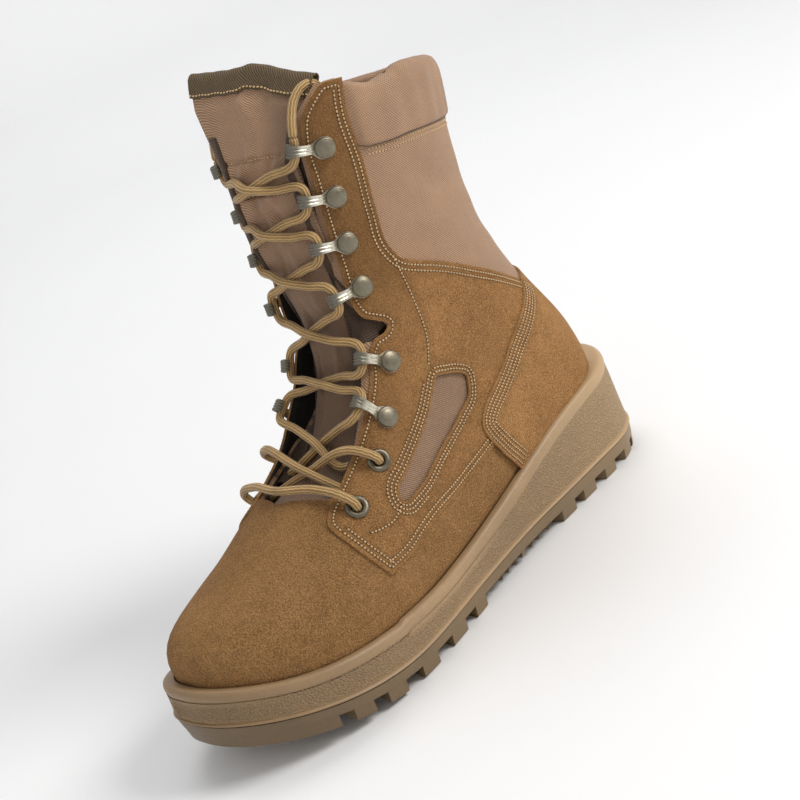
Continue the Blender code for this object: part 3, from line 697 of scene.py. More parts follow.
class Pattern:
    """A flat pattern piece that is laid over the form. Its outline and holes are chains
    of places (turn, angle), and its stitch rows follow them at a distance."""

    def __init__(self, outline_runs, holes=()):
        self.runs = [np.array(run) for run in outline_runs]
        self.holes = [np.array(hole) for hole in holes]
        self.rows = []

    def loops(self):
        """The outline and the holes on the plane."""
        outline = np.concatenate([run[:-1] for run in self.runs])
        return [loop * PLANE for loop in (outline, *self.holes)]

    def row(self, chain, distance, start=0.0, end=1.0):
        """Adds a stitch row beside part of a chain."""
        last = len(chain) - 1
        self.rows.append(beside(chain, distance)[round(start * last) : round(end * last) + 1])

    def body(self, lift, spacing=2.4):
        """A bmesh of the panel at a height over the form, pressed in along its rows. Its
        cloth's threads run along Y and Z."""
        lines = [
            thinned(beside(chain, distance), 1.1) * PLANE
            for chain in self.rows
            for distance in (-0.85, 0.0, 0.85)
        ]
        verts, faces = fill(self.loops(), lines, spacing)
        turn, angle = (verts / PLANE).T
        heights = lift(turn, angle) if callable(lift) else np.full(len(verts), float(lift))
        if self.rows:
            stitched = np.concatenate([even(form(*row.T), 0.4) for row in self.rows])
            pressed = gaps(form(turn, angle), stitched)
            heights = heights - 0.3 * hump(pressed, 0, 0.6)
        points = skin(turn, angle, heights)
        bm = bmesh.new()
        layer = bm.loops.layers.uv.new("cloth")
        # Nearness to the stitch rows, which the suede darkens as painted shade.
        seams = bm.verts.layers.float.new("stitched")
        near = hump(pressed, 0, 0.75) if self.rows else np.zeros(len(points))
        made = [bm.verts.new(point) for point in points]
        for vert, value in zip(made, near):
            vert[seams] = value
        for a, b, c in faces:
            face = bm.faces.new((made[a], made[b], made[c]))
            for loop, i in zip(face.loops, (a, b, c)):
                loop[layer].uv = points[i, 1:]
        loose = [vert for vert in bm.verts if not vert.link_faces]
        bmesh.ops.delete(bm, geom=loose, context="VERTS")
        bm.faces.ensure_lookup_table()
        middle = np.array(bm.faces[len(bm.faces) // 2].calc_center_median())
        i = np.linalg.norm(points - middle, axis=1).argmin()
        return face_out(bm, form_normal(turn[i], angle[i]))


def thinned(places, spacing):
    """The chain with its points spread evenly at about this spacing on the form."""
    steps = lengths_along(form(*places.T))
    return sampled(places, steps, even_steps(steps, spacing))


def beside(places, distance):
    """A chain of places moved sideways over the form: to the left for an observer who
    walks along it outside the boot."""
    if distance == 0:
        return places
    points = form(*places.T)
    side = unit(np.cross(form_normal(*places.T), np.gradient(points, axis=0)))
    return settled(points + side * distance, places)


def run(points, side=1):
    """A smooth chain of places through points of the outer side, or their match."""
    return on_form(even(smooth_route(points, 0.8), 1.6), side)


# A row has a thread and a needle hole at each pitch. Half width, half height and rise:
THREAD, HOLE = (0.47, 0.4, 0.0), (0.36, 0.15, -0.12)
THREAD_SHARE = 0.38  # half a thread's length as a share of the pitch


def stitches(name, rows, lift, pitch):
    """Small rounded threads along rows of points and normals, and needle holes, in one
    piece."""
    bm = bmesh.new()
    bmesh.ops.create_uvsphere(bm, u_segments=6, v_segments=4, radius=1)
    bmesh.ops.rotate(bm, verts=bm.verts, matrix=Matrix.Rotation(math.pi / 2, 3, "Y"))
    bm.verts.index_update()
    bead = np.array([vert.co for vert in bm.verts])
    corners = [[vert.index for vert in face.verts] for face in bm.faces]
    bm.free()
    verts, counts = [], []
    kinds = ((pitch / 2, pitch * THREAD_SHARE, THREAD), (pitch, HOLE[0], HOLE))
    for start, length, (width, height, rise) in kinds:
        chains = []
        for row, normals in rows:
            points = row + normals * (lift + rise)
            steps = lengths_along(points)
            spots = np.arange(start, steps[-1], pitch)
            middle = sampled(points, steps, spots)
            along = unit(sampled(points, steps, spots + 0.4) - sampled(points, steps, spots - 0.4))
            across = unit(np.cross(sampled(normals, steps, spots), along))
            frames = np.stack([along, across, np.cross(along, across)], 1)
            frames *= np.array([length, width, height])[:, None]
            chains.append(middle[:, None] + np.einsum("vk,nkd->nvd", bead, frames))
        verts.append(np.concatenate(chains))
        counts.append(len(verts[-1]) * len(corners))
    verts = np.concatenate(verts)
    faces = [[i + len(bead) * k for i in face] for k in range(len(verts)) for face in corners]
    mesh = bpy.data.meshes.new(name)
    mesh.from_pydata((verts.reshape(-1, 3) * MM).tolist(), [], faces)
    mesh.shade_smooth()
    # The hole beads carry the needle holes' painted shade.
    place_piece(name, mesh, "thread needle_hole")
    mesh.polygons.foreach_set("material_index", np.repeat((0, 1), counts).astype(np.int32))


def on_skin(rows):
    """Stitch rows of places as points over the creased form with their normals."""
    fine = [thinned(row, 0.6).T for row in rows]
    return [(skin(*row), form_normal(*row)) for row in fine]


def tube(points, radius, sides=16):
    """A round cord along points, closed at its ends, with its place along and round."""
    points = np.asarray(points, float)
    along = unit(np.gradient(points, axis=0))
    side, across = np.cross(along[0], [0.0, 0.0, 1.0]), []
    for direction in along:
        side = unit(side - direction * side.dot(direction))
        across.append(side)
    across = np.array(across)
    turn = np.linspace(0, 2 * np.pi, sides + 1)[None, :, None]
    up = np.cross(along, across)
    ring = radius * (np.cos(turn) * across[:, None] + np.sin(turn) * up[:, None])
    low, high = (
        [
            points[i] + along[i] * sign * radius * depth + ring[i] * share
            for depth, share in ((0.33, 0.8), (0.54, 0.4), (0.6, 0.0))
        ]
        for i, sign in ((0, -1), (-1, 1))
    )
    grid = np.concatenate([low[::-1], points[:, None] + ring, high])
    steps = lengths_along(points)
    steps = np.concatenate([[-3, -2, -1], steps, steps[-1] + [1, 2, 3]])
    cloth = np.stack(np.broadcast_arrays(steps[:, None], turn[..., 0] / (2 * np.pi)), -1)
    return outward(woven(grid, cloth, merge=0.0005))


def spun(profile, steps, closed=True):
    """A shape turned about +Z from a profile of radii and heights."""
    bm = bmesh.new()
    verts = [bm.verts.new((r, 0, z)) for r, z in profile]
    after = verts[1:] + verts[:1] if closed else verts[1:]
    edges = [bm.edges.new(pair) for pair in zip(verts, after)]
    bmesh.ops.spin(
        bm, geom=verts + edges, axis=(0, 0, 1), angle=math.tau, steps=steps, use_merge=True
    )
    bmesh.ops.remove_doubles(bm, verts=bm.verts, dist=0.01)
    return bm


# ---- finishes ----


class Value:
    """A socket of a finish that sums like a number."""

    def __init__(self, finish, socket):
        self.finish, self.socket = finish, socket

    def maths(self, operation, *values):
        return self.finish.node("ShaderNodeMath", {"operation": operation}, dict(enumerate(values)))

    def __add__(self, other):
        return self.maths("ADD", self, other)

    def __radd__(self, other):
        return self.maths("ADD", other, self)

    def __sub__(self, other):
        return self.maths("SUBTRACT", self, other)

    def __rsub__(self, other):
        return self.maths("SUBTRACT", other, self)

    def __mul__(self, other):
        return self.maths("MULTIPLY", self, other)

    def __rmul__(self, other):
        return self.maths("MULTIPLY", other, self)

    def sine(self):
        return self.maths("SINE", self)

    def highest(self, other):
        return self.maths("MAXIMUM", self, other)


class Finish:
    """A material that is built with nodes."""

    def __init__(self, name, roughness, **fixed):
        self.material = bpy.data.materials.new(name)
        self.material.use_nodes = True
        self.tree = self.material.node_tree
        self.shader = self.tree.nodes["Principled BSDF"]
        self.place = self.node("ShaderNodeTexCoord", output="Object")
        self.set(Roughness=roughness, **fixed)

    def feed(self, socket, value):
        if isinstance(value, Value):
            self.tree.links.new(value.socket, socket)
        else:
            socket.default_value = value

    def set(self, **values):
        for key, value in values.items():
            self.feed(self.shader.inputs[key.replace("_", " ")], value)

    def node(self, kind, settings=None, inputs=None, output=0):
        made = self.tree.nodes.new(kind)
        for name, value in (settings or {}).items():
            setattr(made, name, value)
        for key, value in (inputs or {}).items():
            self.feed(made.inputs[key], value)
        return Value(self, made.outputs[output])

    def cloth(self):
        """The piece's own place on the cloth in millimetres, along and across."""
        return self.split(self.node("ShaderNodeUVMap", {"uv_map": "cloth"}), 0, 1)

    def split(self, vector, *axes):
        kind = "ShaderNodeSeparateXYZ"
        return [self.node(kind, inputs={0: vector}, output=axis) for axis in axes]

    def joined(self, x, y):
        return self.node("ShaderNodeCombineXYZ", inputs={0: x, 1: y})

    def stretched(self, scale, turn=(0, 0, 0)):
        """The place with its axes scaled, for marks that run one way."""
        inputs = {"Vector": self.place, "Scale": scale, "Rotation": turn}
        return self.node("ShaderNodeMapping", inputs=inputs)

    def marked(self, name):
        """The value of one of the mesh's own attributes."""
        return self.node("ShaderNodeAttribute", {"attribute_name": name}, output="Fac")

    def noise(self, scale, detail, roughness, distortion=0.0, over=None):
        """Noise over the piece's place, or over another vector."""
        inputs = {"Vector": over or self.place, "Scale": scale, "Detail": detail}
        inputs |= {"Roughness": roughness, "Distortion": distortion}
        return self.node("ShaderNodeTexNoise", inputs=inputs)

    def between(self, value, low, high, start=0.0, end=1.0):
        """Start below low, end above high, smooth between."""
        inputs = {"Value": value, "From Min": low, "From Max": high, "To Min": start, "To Max": end}
        return self.node("ShaderNodeMapRange", {"interpolation_type": "SMOOTHSTEP"}, inputs)

    def mix(self, share, first, second):
        inputs = {0: share, 6: first, 7: second}
        return self.node("ShaderNodeMix", {"data_type": "RGBA"}, inputs, output=2)

    def relief(self, height, depth):
        """Fine relief of a depth in millimetres."""
        inputs = {"Height": height, "Distance": depth * MM, "Strength": 1.0}
        self.set(Normal=self.node("ShaderNodeBump", inputs=inputs))


def shade(colour, factor, warm=0.0):
    """A lighter or darker colour, with an alpha. Warmth moves it toward red."""
    r, g, b = colour[:3]
    return (r * factor * (1 + warm), g * factor, b * factor * (1 - warm), 1.0)


def wave(value):
    """A ridge from 0 to 1 for each whole turn of a value."""
    return value.sine() * 0.5 + 0.5


def suede(name, colour):
    """Short brushed nap: mottled patches, darker strokes and pale and dark fibre ends.
    The quarters are rubbed darker over the shin and the instep."""
    finish = Finish(name, 0.95, Sheen_Weight=0.12, Sheen_Roughness=0.45)
    finish.set(Sheen_Tint=shade(colour, 2.2), Specular_IOR_Level=0.2)
    patch = finish.noise(26, 3, 0.55, 0.4)
    mottle = finish.noise(150, 3, 0.6)
    stroke = finish.noise(1, 2, 0.6, 0.4, over=finish.stretched((620, 300, 460), (0.4, 0.2, 0.1)))
    fibre = finish.between(finish.noise(1350, 2, 0.65), 0.25, 0.75)
    grain = finish.between(finish.noise(2500, 1, 0.5), 0.25, 0.75)
    tone = patch * 0.36 + mottle * 0.26 + stroke * 0.16 + fibre * 0.36 + grain * 0.32
    tone = finish.between(tone, 0.42, 1.04)
    base = finish.mix(tone, shade(colour, 0.54, 0.06), shade(colour, 1.5, -0.03))
    # Painted shade: the quarter's eyestay darkens over the shin and instep, facing away from the
    # key light.
    if name == "suede_quarter":
        y, z = finish.split(finish.place, 1, 2)
        shin = finish.between(z, 0.12, 0.16) * finish.between(y, 0.022, 0.036, 1.0, 0.0)
        instep = finish.between(z, 0.065, 0.1, 0.0, 0.62)
        instep = instep * finish.between(y, -0.008, 0.014, 1.0, 0.0)
        base = finish.mix(shin.highest(instep) * 0.5, base, shade(colour, 0.42, 0.05))
    # Painted shade in the dimples along the stitch rows.
    seam = finish.marked("stitched") * 0.8
    finish.set(Base_Color=finish.mix(seam, base, shade(colour, 0.3, 0.05)))
    finish.set(Roughness=finish.between(mottle, 0.2, 0.8, 0.86, 1.0))
    finish.relief(fibre * 0.7 + grain * 0.4 + stroke * 0.3 + mottle * 0.4, 0.75)


def twill(name, colour, pitch=1.0, contrast=1.0, deep=0.0):
    """Fine diagonal twill with uneven threads, darker low down and outside if it is deep."""
    finish = Finish(name, 0.78, Sheen_Weight=0.15, Sheen_Roughness=0.4)
    u, v = finish.cloth()
    wander = finish.noise(70, 2, 0.5)
    line = wave((u + v + wander * 0.8) * (math.tau * 0.7071 / pitch))
    thread = wave((u - v) * (math.tau * 0.7071 / (pitch * 0.9)))
    patch = finish.noise(45, 3, 0.6)
    slub = finish.noise(1, 2, 0.6, over=finish.joined(u * 0.25, v * 1.9))
    tone = line * 0.5 * contrast + thread * 0.24 + patch * 0.3 + slub * 0.3
    tone = finish.between(tone, 0.2, 1.15)
    base = finish.mix(tone, shade(colour, 0.5), shade(colour, 1.53))
    if deep:
        # Painted shade: the tongue darkens low in the throat and toward its outer (+X) side.
        x, z = finish.split(finish.place, 0, 2)
        low = finish.between(z, 0.11, 0.235, deep, 0.0)
        outer = finish.between(x, 0.0, 0.02, 0.0, 0.5)
        base = finish.mix(low.highest(outer), base, shade(colour, 0.3))
    finish.set(Base_Color=base, Roughness=finish.between(patch, 0.2, 0.8, 0.72, 0.86))
    finish.relief(line * (0.7 + thread * 0.3), 0.24)


def ribbed_tape(name, colour):
    """Woven binding with strong slanting ribs."""
    finish = Finish(name, 0.8, Sheen_Weight=0.1)
    u, v = finish.cloth()
    rib = wave((u * 0.86 + v * 0.62) * (math.tau / 1.2))
    fine = wave(u * 4.4 - v * 2.2)
    patch = finish.noise(90, 3, 0.6)
    tone = finish.between(rib * 0.62 + fine * 0.16 + patch * 0.3, 0.2, 0.92)
    finish.set(Base_Color=finish.mix(tone, shade(colour, 0.42), shade(colour, 1.4)))
    finish.relief(rib + fine * 0.15, 0.4)


def braided(name, colour):
    """Round braid: strands that run along the lace with a slight sway."""
    finish = Finish(name, 0.62, Sheen_Weight=0.25, Sheen_Roughness=0.35)
    u, v = finish.cloth()
    sway = (u * (math.tau * 0.3)).sine() * 0.45
    strand = wave(v * (math.tau * 9.0) + sway)
    fibre = finish.noise(1, 2, 0.6, over=finish.joined(u * 1.6, v * 40.0))
    patch = finish.noise(120, 2, 0.6)
    tone = finish.between(strand * 0.36 + fibre * 0.5 + patch * 0.3, 0.25, 0.95)
    finish.set(Base_Color=finish.mix(tone, shade(colour, 0.42, 0.04), shade(colour, 1.42)))
    finish.relief(strand + fibre * 0.2, 0.4)


def waxed(name, colour):
    """Waxed thread."""
    finish = Finish(name, 0.55)
    uneven = finish.noise(800, 2, 0.6)
    patch = finish.noise(60, 2, 0.6)
    tone = finish.between(uneven * 0.6 + patch * 0.5, 0.3, 0.8)
    finish.set(Base_Color=finish.mix(tone, shade(colour, 0.7), shade(colour, 1.2)))
    finish.relief(uneven, 0.1)


def moulded(name, colour, pebble, scuff=0.25):
    """Moulded sole compound, darker at the toe and paler at the heel, with a smooth skin
    that is pebbled where the piece says so."""
    finish = Finish(name, 0.55, Specular_IOR_Level=0.4)
    mask = finish.marked("pebbled")
    patch = finish.noise(30, 3, 0.6)
    speck = finish.noise(700, 3, 0.6)
    cells = {"Vector": finish.place, "Scale": 1250.0, "Smoothness": 0.6}
    bumps = finish.node("ShaderNodeTexVoronoi", {"feature": "SMOOTH_F1"}, cells)
    pits = finish.between(bumps, 0.15, 0.75)
    scuffs = finish.noise(1, 4, 0.7, 1.2, over=finish.stretched((260, 90, 700)))
    tone = finish.between(patch * 0.5 + speck * 0.3 + scuffs * scuff, 0.3, 0.8)
    (y,) = finish.split(finish.place, 1)
    # Painted shade toward the toe and painted light toward the heel.
    toe, heel = finish.between(y, -0.15, -0.02, 0.5, 0.0), finish.between(y, 0.03, 0.14, 0.0, 0.8)
    base = finish.mix(tone, shade(colour, 0.82), shade(colour, 1.14))
    base = finish.mix(toe, base, shade(colour, 0.5, 0.1))
    base = finish.mix(heel, base, shade(colour, 1.4, -0.03))
    # Painted shade in the hollows between the pebbles.
    finish.set(Base_Color=finish.mix(pits * mask * 0.55, base, shade(colour, 0.55)))
    finish.set(Roughness=finish.between(patch + mask * 0.4, 0.3, 1.1, 0.42, 0.68))
    finish.relief((1 - pits) * mask * pebble + speck * 0.06 + scuffs * 0.05, 0.4)


def pewter(name, colour, roughness):
    """Plated metal with fine tumbling marks and a dull film."""
    finish = Finish(name, roughness)
    film = finish.noise(260, 4, 0.65)
    fine = finish.noise(1600, 2, 0.6)
    brushed = finish.noise(1, 2, 0.6, over=finish.stretched((2600, 500, 500)))
    tone = finish.between(film * 0.7 + brushed * 0.4, 0.3, 0.85)
    finish.set(Base_Color=finish.mix(tone, shade(colour, 0.72, 0.03), shade(colour, 1.2)))
    dull = film * 0.7 + fine * 0.4
    finish.set(Roughness=finish.between(dull, 0.3, 0.85, roughness - 0.08, roughness + 0.16))
    finish.set(Metallic=finish.between(film, 0.25, 0.7, 0.82, 1.0))
    finish.relief(fine * 0.5 + brushed * 0.5, 0.05)
    return finish


def worn_plate(name, colour):
    """Bright arm with a darker plated tip."""
    finish = pewter(name, colour, 0.3)
    u, _ = finish.cloth()
    film = finish.noise(420, 3, 0.6)
    dark = finish.between(u + film * 3.0, 17.5, 21.0)
    tone = finish.mix(film, shade(colour, 0.7), shade(colour, 1.2))
    finish.set(Base_Color=finish.mix(dark, tone, shade(colour, 0.3, 0.02)))
    finish.set(Roughness=finish.between(film + dark * 0.5, 0.3, 1.2, 0.26, 0.5))


def felted(name, colour):
    """Napped lining and insole cloth."""
    finish = Finish(name, 0.95, Sheen_Weight=0.1)
    nap = finish.noise(900, 3, 0.7)
    patch = finish.noise(60, 3, 0.6)
    dots = finish.node("ShaderNodeTexVoronoi", inputs={"Vector": finish.place, "Scale": 620.0})
    tone = finish.between(nap * 0.5 + patch * 0.5 + dots * 0.2, 0.3, 0.9)
    finish.set(Base_Color=finish.mix(tone, shade(colour, 0.65), shade(colour, 1.3)))
    finish.relief(nap * 0.6 + dots * 0.6, 0.3)


def matt_paper(name, colour):
    """Matt paper of the studio's floor."""
    finish = Finish(name, 0.6)
    patch = finish.noise(2.2, 3, 0.5)
    fine = finish.noise(240, 3, 0.6)
    tone = finish.between(patch * 0.8 + fine * 0.2, 0.2, 0.8)
    finish.set(Base_Color=finish.mix(tone, shade(colour, 0.985), shade(colour, 1.01)))
    finish.relief(fine, 0.05)


def finished(name):
    """The material of this name, made when it is first asked for."""
    if name not in bpy.data.materials:
        FINISHES[name](name, bpy.context.scene.boot_colours)
    return bpy.data.materials[name]


FINISHES = {
    "suede_vamp": lambda name, c: suede(name, shade(c.suede, 1)),
    "suede_quarter": lambda name, c: suede(name, shade(c.suede, 1.08, 0.03)),
    "suede_counter": lambda name, c: suede(name, shade(c.suede, 1.24, 0.02)),
    "suede_edge": lambda name, c: suede(name, shade(c.suede, 1.45, -0.02)),
    "twill_shaft": lambda name, c: twill(name, c.nylon),
    # Painted shade: the nylon behind the windows is darkened for its recess.
    "twill_window": lambda name, c: twill(name, shade(c.nylon, 0.8), 0.9, 0.7),
    "twill_collar": lambda name, c: twill(name, shade(c.nylon, 1.03), contrast=0.8),
    # Painted shade on the tongue's lower part and outer side.
    "twill_tongue": lambda name, c: twill(name, shade(c.nylon, 1.06), deep=0.75),
    # Painted shade: the gussets lie between tongue and eyestays, so their twill is darkened.
    "twill_gusset": lambda name, c: twill(name, shade(c.nylon, 0.2)),
    "binding": lambda name, c: ribbed_tape(name, c.tape),
    "backstay_tape": lambda name, c: ribbed_tape(name, shade(c.tape, 0.75)),
    "lace_braid": lambda name, c: braided(name, c.lace),
    "thread": lambda name, c: waxed(name, c.thread),
    # Painted shade: near-black beads sunk in the needle holes.
    "needle_hole": lambda name, c: waxed(name, shade(c.suede, 0.12)),
    # Painted shadow: a dark cord under the collar's lower edge.
    "welt": lambda name, c: waxed(name, shade(c.nylon, 0.22)),
    "midsole_compound": lambda name, c: moulded(name, c.midsole, 1.4),
    "outsole_rubber": lambda name, c: moulded(name, c.outsole, 0.0, 0.35),
    "stud_pewter": lambda name, c: pewter(name, c.stud, 0.42),
    "hook_plate": lambda name, c: worn_plate(name, c.plate),
    "eyelet_plate": lambda name, c: pewter(name, shade(c.stud, 0.8), 0.38),
    "lining": lambda name, c: felted(name, shade(c.nylon, 0.5)),
    # Painted shade: near-black inner faces of the quarters, seen in the shaded throat.
    "backing": lambda name, c: felted(name, (0.024, 0.022, 0.018)),
    "insole_cloth": lambda name, c: felted(name, (0.03, 0.026, 0.022)),
    "floor": lambda name, c: matt_paper(name, c.floor),
}


# ---- the camera and the stage ----


CAMERA_LENS, SENSOR = 59.26, 36.0
CAMERA_SHIFT = (0.061, -0.017)
CAMERA_AIM = Vector((AXIS_X, 0, 110)) * MM
# The floor's section from its middle out: it curves up far behind.
FLOOR = ((0, 0), (1600, 0), (2200, 40), (2700, 220), (3000, 600), (3100, 1100), (3100, 1800))
BOOT_MIDDLE = (0, 0, 0.1)
# Each light's name, place, aim, size in metres, watts and colour.
LIGHTS = (
    ("key", (1.1, 0.75, 1.25), BOOT_MIDDLE, 0.8, 19, (1, 0.985, 0.96)),
    ("front", (0.1, -1.3, 1.1), BOOT_MIDDLE, 1.0, 1.5, (1, 1, 1)),
    ("top", (-0.5, 0.3, 1.8), BOOT_MIDDLE, 0.9, 7, (1, 1, 1)),
    ("back", (-1.1, 0.8, 1.9), (-3.0, 2.2, 0.5), 1.6, 13, (1, 1, 1)),
)


def make_camera():
    """The camera, placed round the boot and leant to one side."""
    stage = bpy.context.scene.boot_stage
    across, up, roll = stage.around, stage.height, stage.roll
    back = Vector((math.cos(up) * math.cos(across), -math.cos(up) * math.sin(across), math.sin(up)))
    level = Vector((math.sin(across), math.cos(across), 0))
    upright = back.cross(level)
    right = level * math.cos(roll) - upright * math.sin(roll)
    top = level * math.sin(roll) + upright * math.cos(roll)
    data = bpy.data.cameras.new("camera")
    data.lens, data.sensor_width = CAMERA_LENS, SENSOR
    data.shift_x, data.shift_y = CAMERA_SHIFT
    data.clip_start, data.clip_end = 0.01, 50
    camera = link("camera", data)
    turned = Matrix((right, top, back)).transposed().to_4x4()
    camera.matrix_world = Matrix.Translation(CAMERA_AIM + back * stage.distance) @ turned
    bpy.context.scene.camera = camera


def make_stage():
    """A pale floor, soft lights and a pale sky."""
    scene = bpy.context.scene
    floor = link("floor", to_mesh(spun(FLOOR, 96, closed=False), "floor"))
    floor.data.materials.append(finished("floor"))
    world = bpy.data.worlds.new("sky")
    world.use_nodes = True
    sky = world.node_tree.nodes["Background"].inputs
    sky["Color"].default_value = (1.0, 1.0, 1.0, 1)
    sky["Strength"].default_value = scene.boot_stage.sky
    scene.world = world
    for name, place, target, size, watts, colour in LIGHTS:
        data = bpy.data.lights.new(name, "AREA")
        data.shape, data.size, data.color = "DISK", size, colour
        data.energy = watts * scene.boot_stage.light
        light = link(name, data)
        light.location = place
        light.rotation_euler = (Vector(target) - Vector(place)).to_track_quat("-Z", "Y").to_euler()
    scene.view_settings.view_transform = "Standard"


# ---- the upper ----

# Chains along the outer side's panels, each as points of the form (x, y, z).
PEAK = (39.8, 31.9, 243.5)
EYESTAY_FRONT = (
    PEAK, (38.6, 27.0, 245.0), (36.6, 22.0, 244.6), (33.2, 16.2, 240.8),
    (29.6, 11.1, 234.9), (26.8, 8.5, 226.1), (24.1, 7.0, 205.7), (22.3, 4.9, 184.2),
    (22.3, 2.1, 163.7), (22.9, -0.1, 154.1), (24.0, -0.3, 148.4), (25.5, 0.8, 143.8),
    (28.0, 5.6, 139.6), (29.5, 9.0, 136.1), (29.3, 6.6, 133.8), (27.5, -0.1, 132.9),
    (26.9, -3.4, 130.6), (26.9, -7.0, 126.6), (27.8, -11.2, 119.7), (28.5, -19.6, 110.3),
    (27.0, -38.1, 93.6), (27.2, -56.5, 83.3), (27.9, -62.3, 80.3), (30.4, -66.6, 76.9),
    (34.7, -67.6, 73.3),
)
QUARTER_TOE = ((34.7, -67.6, 73.3), (43.5, -65.6, 62.9), (47.7, -59.7, 49.0))
QUARTER_LOW = (
    (47.7, -59.7, 49.0), (46.6, -45.0, 49.2), (44.9, -29.4, 52.4), (43.2, -17.5, 53.6),
    (41.4, -3.8, 54.2), (40.1, 5.0, 54.9), (38.3, 19.2, 56.5), (37.3, 32.7, 58.5),
    (36.7, 44.6, 59.5),
)
QUARTER_HIDDEN = (
    (36.7, 44.6, 59.5), (36.7, 45.0, 67.4), (36.4, 51.5, 76.0), (36.1, 63.5, 83.5),
    (35.3, 82.0, 95.5), (24.0, 103.0, 109.0),
)
QUARTER_TOP = (
    (24.0, 103.0, 109.0), (29.6, 95.8, 115.2), (35.2, 66.8, 135.7), (34.4, 46.0, 149.1),
    (33.2, 36.7, 154.1), (31.9, 29.9, 158.7), (31.0, 26.4, 166.2), (31.8, 27.2, 184.3),
    (34.2, 29.6, 207.3), (37.0, 29.4, 229.7), PEAK,
)
WINDOW = (
    (35.2, 17.9, 103.7), (35.6, 23.2, 102.0), (36.0, 30.0, 98.9), (36.2, 34.2, 95.2),
    (36.4, 33.1, 91.6), (36.6, 30.8, 87.2), (37.0, 21.8, 82.8), (38.3, 7.5, 77.8),
    (40.1, -4.7, 74.4), (42.0, -18.2, 70.0), (43.0, -28.6, 68.7), (43.2, -32.6, 68.6),
    (42.7, -34.6, 70.5), (41.7, -33.4, 74.0), (40.7, -24.2, 78.6), (39.2, -12.8, 84.0),
    (37.8, -3.6, 88.3), (36.5, 4.8, 93.2), (35.6, 12.4, 99.3),
)
EYESTAY_ROW = (
    (30.9, 26.0, 162.2), (32.1, 26.1, 139.7), (33.8, 22.9, 120.5), (34.4, 17.0, 110.3),
)
TOE_ROW = ((42.6, -36.4, 68.6), (43.6, -44.0, 66.0), (42.0, -56.5, 67.5))
COUNTER_FRONT = (
    (29.2, 96.5, 115.1), (31.7, 93.4, 111.2), (34.6, 85.9, 105.4), (35.6, 76.7, 99.6),
    (35.8, 68.6, 95.1), (36.1, 59.0, 89.1), (36.4, 46.3, 82.5), (36.7, 36.9, 78.1),
    (37.0, 31.9, 74.4), (37.2, 29.3, 70.0), (37.3, 29.8, 65.0), (37.3, 32.8, 57.6),
    (36.9, 36.7, 49.5),
)
COLLAR_SEAM = (
    (35.8, 34.4, 211.4), (37.3, 45.8, 209.2), (37.9, 57.5, 208.1), (36.1, 73.0, 206.1),
    (27.4, 92.3, 203.8), (12.5, 104.5, 202.8), (AXIS_X + 0.1, 107.7, 202.6),
)
SUEDE_LIFT, COUNTER_LIFT, SHELL_LIFT = 1.0, 2.1, -0.3
NOTCH_TURN = 0.58  # where the eyestay's front edge is notched for the ankle's bend
VAMP_SEAM_Z, VAMP_SEAM_Y = 64.0, -54.0  # the vamp lies below or in front of these
VAMP_END_Y = 60.0  # and ends here, under the counter
SHELL = 1.9  # the shell's thickness
SHAFT_Y = 55.0  # the shaft's middle
TUCK, TUCK_DEPTH = 0.055, 1.9  # the shell's edge behind the eyestays: radians in, and depth
COUNTER_TURN, HEEL_TURN = 0.541, 0.715  # the counter's lower edge starts and ends here
COUNTER_TOP = (115.1, 116.0)  # heights of its upper edge at its ends and behind
TAPE_Z = (117.0, 205.5)  # the backstay tape's ends
TAPE_HALF = 11.5  # half the backstay tape's width
WINDOW_DEPTH = 0.75  # how far the windows' nylon lies under the form at their edges
WINDOW_DIP = 1.9  # how far the shell steps back behind them


def side_arc():
    """Lengths round the shaft from its front, by the direction from its middle."""
    angle = np.linspace(-np.pi, np.pi, 361)
    ring = form(0.8, angle)
    direction = np.unwrap(np.arctan2(ring[:, 0] - AXIS_X, SHAFT_Y - ring[:, 1]))
    steps = lengths_along(ring)
    return direction, steps - steps[180]


ARC = side_arc()
SEAM_PLACES = run(COLLAR_SEAM).T[::-1]
SEAM_PLACES = SEAM_PLACES[:, SEAM_PLACES[0].argsort()]


def collar_turn(angle):
    """The turn at which the collar's seam crosses an angle."""
    return np.interp(np.abs(from_front(angle)), *SEAM_PLACES)


def shell_lift(turn, angle):
    """The shaft's nylon swells a little between its seams."""
    return SHELL_LIFT + 0.9 * ease(np.abs(from_front(angle)), 1.15, 1.5) * ease(turn, 0.70, 0.76)


def window_dip(turn, angle):
    """How deep the shell steps back behind the quarters' windows."""
    away = np.abs(from_front(angle))
    places = np.stack(np.broadcast_arrays(turn, away), -1).reshape(-1, 2) * PLANE
    window = closed_run(WINDOW, 1) * PLANE
    gap = np.array([np.linalg.norm(window - place, axis=1).min() for place in places])
    gap[inside(places, [window])] = 0
    return (WINDOW_DIP * (1 - ease(gap, 2.0, 5.5))).reshape(np.broadcast(turn, away).shape)


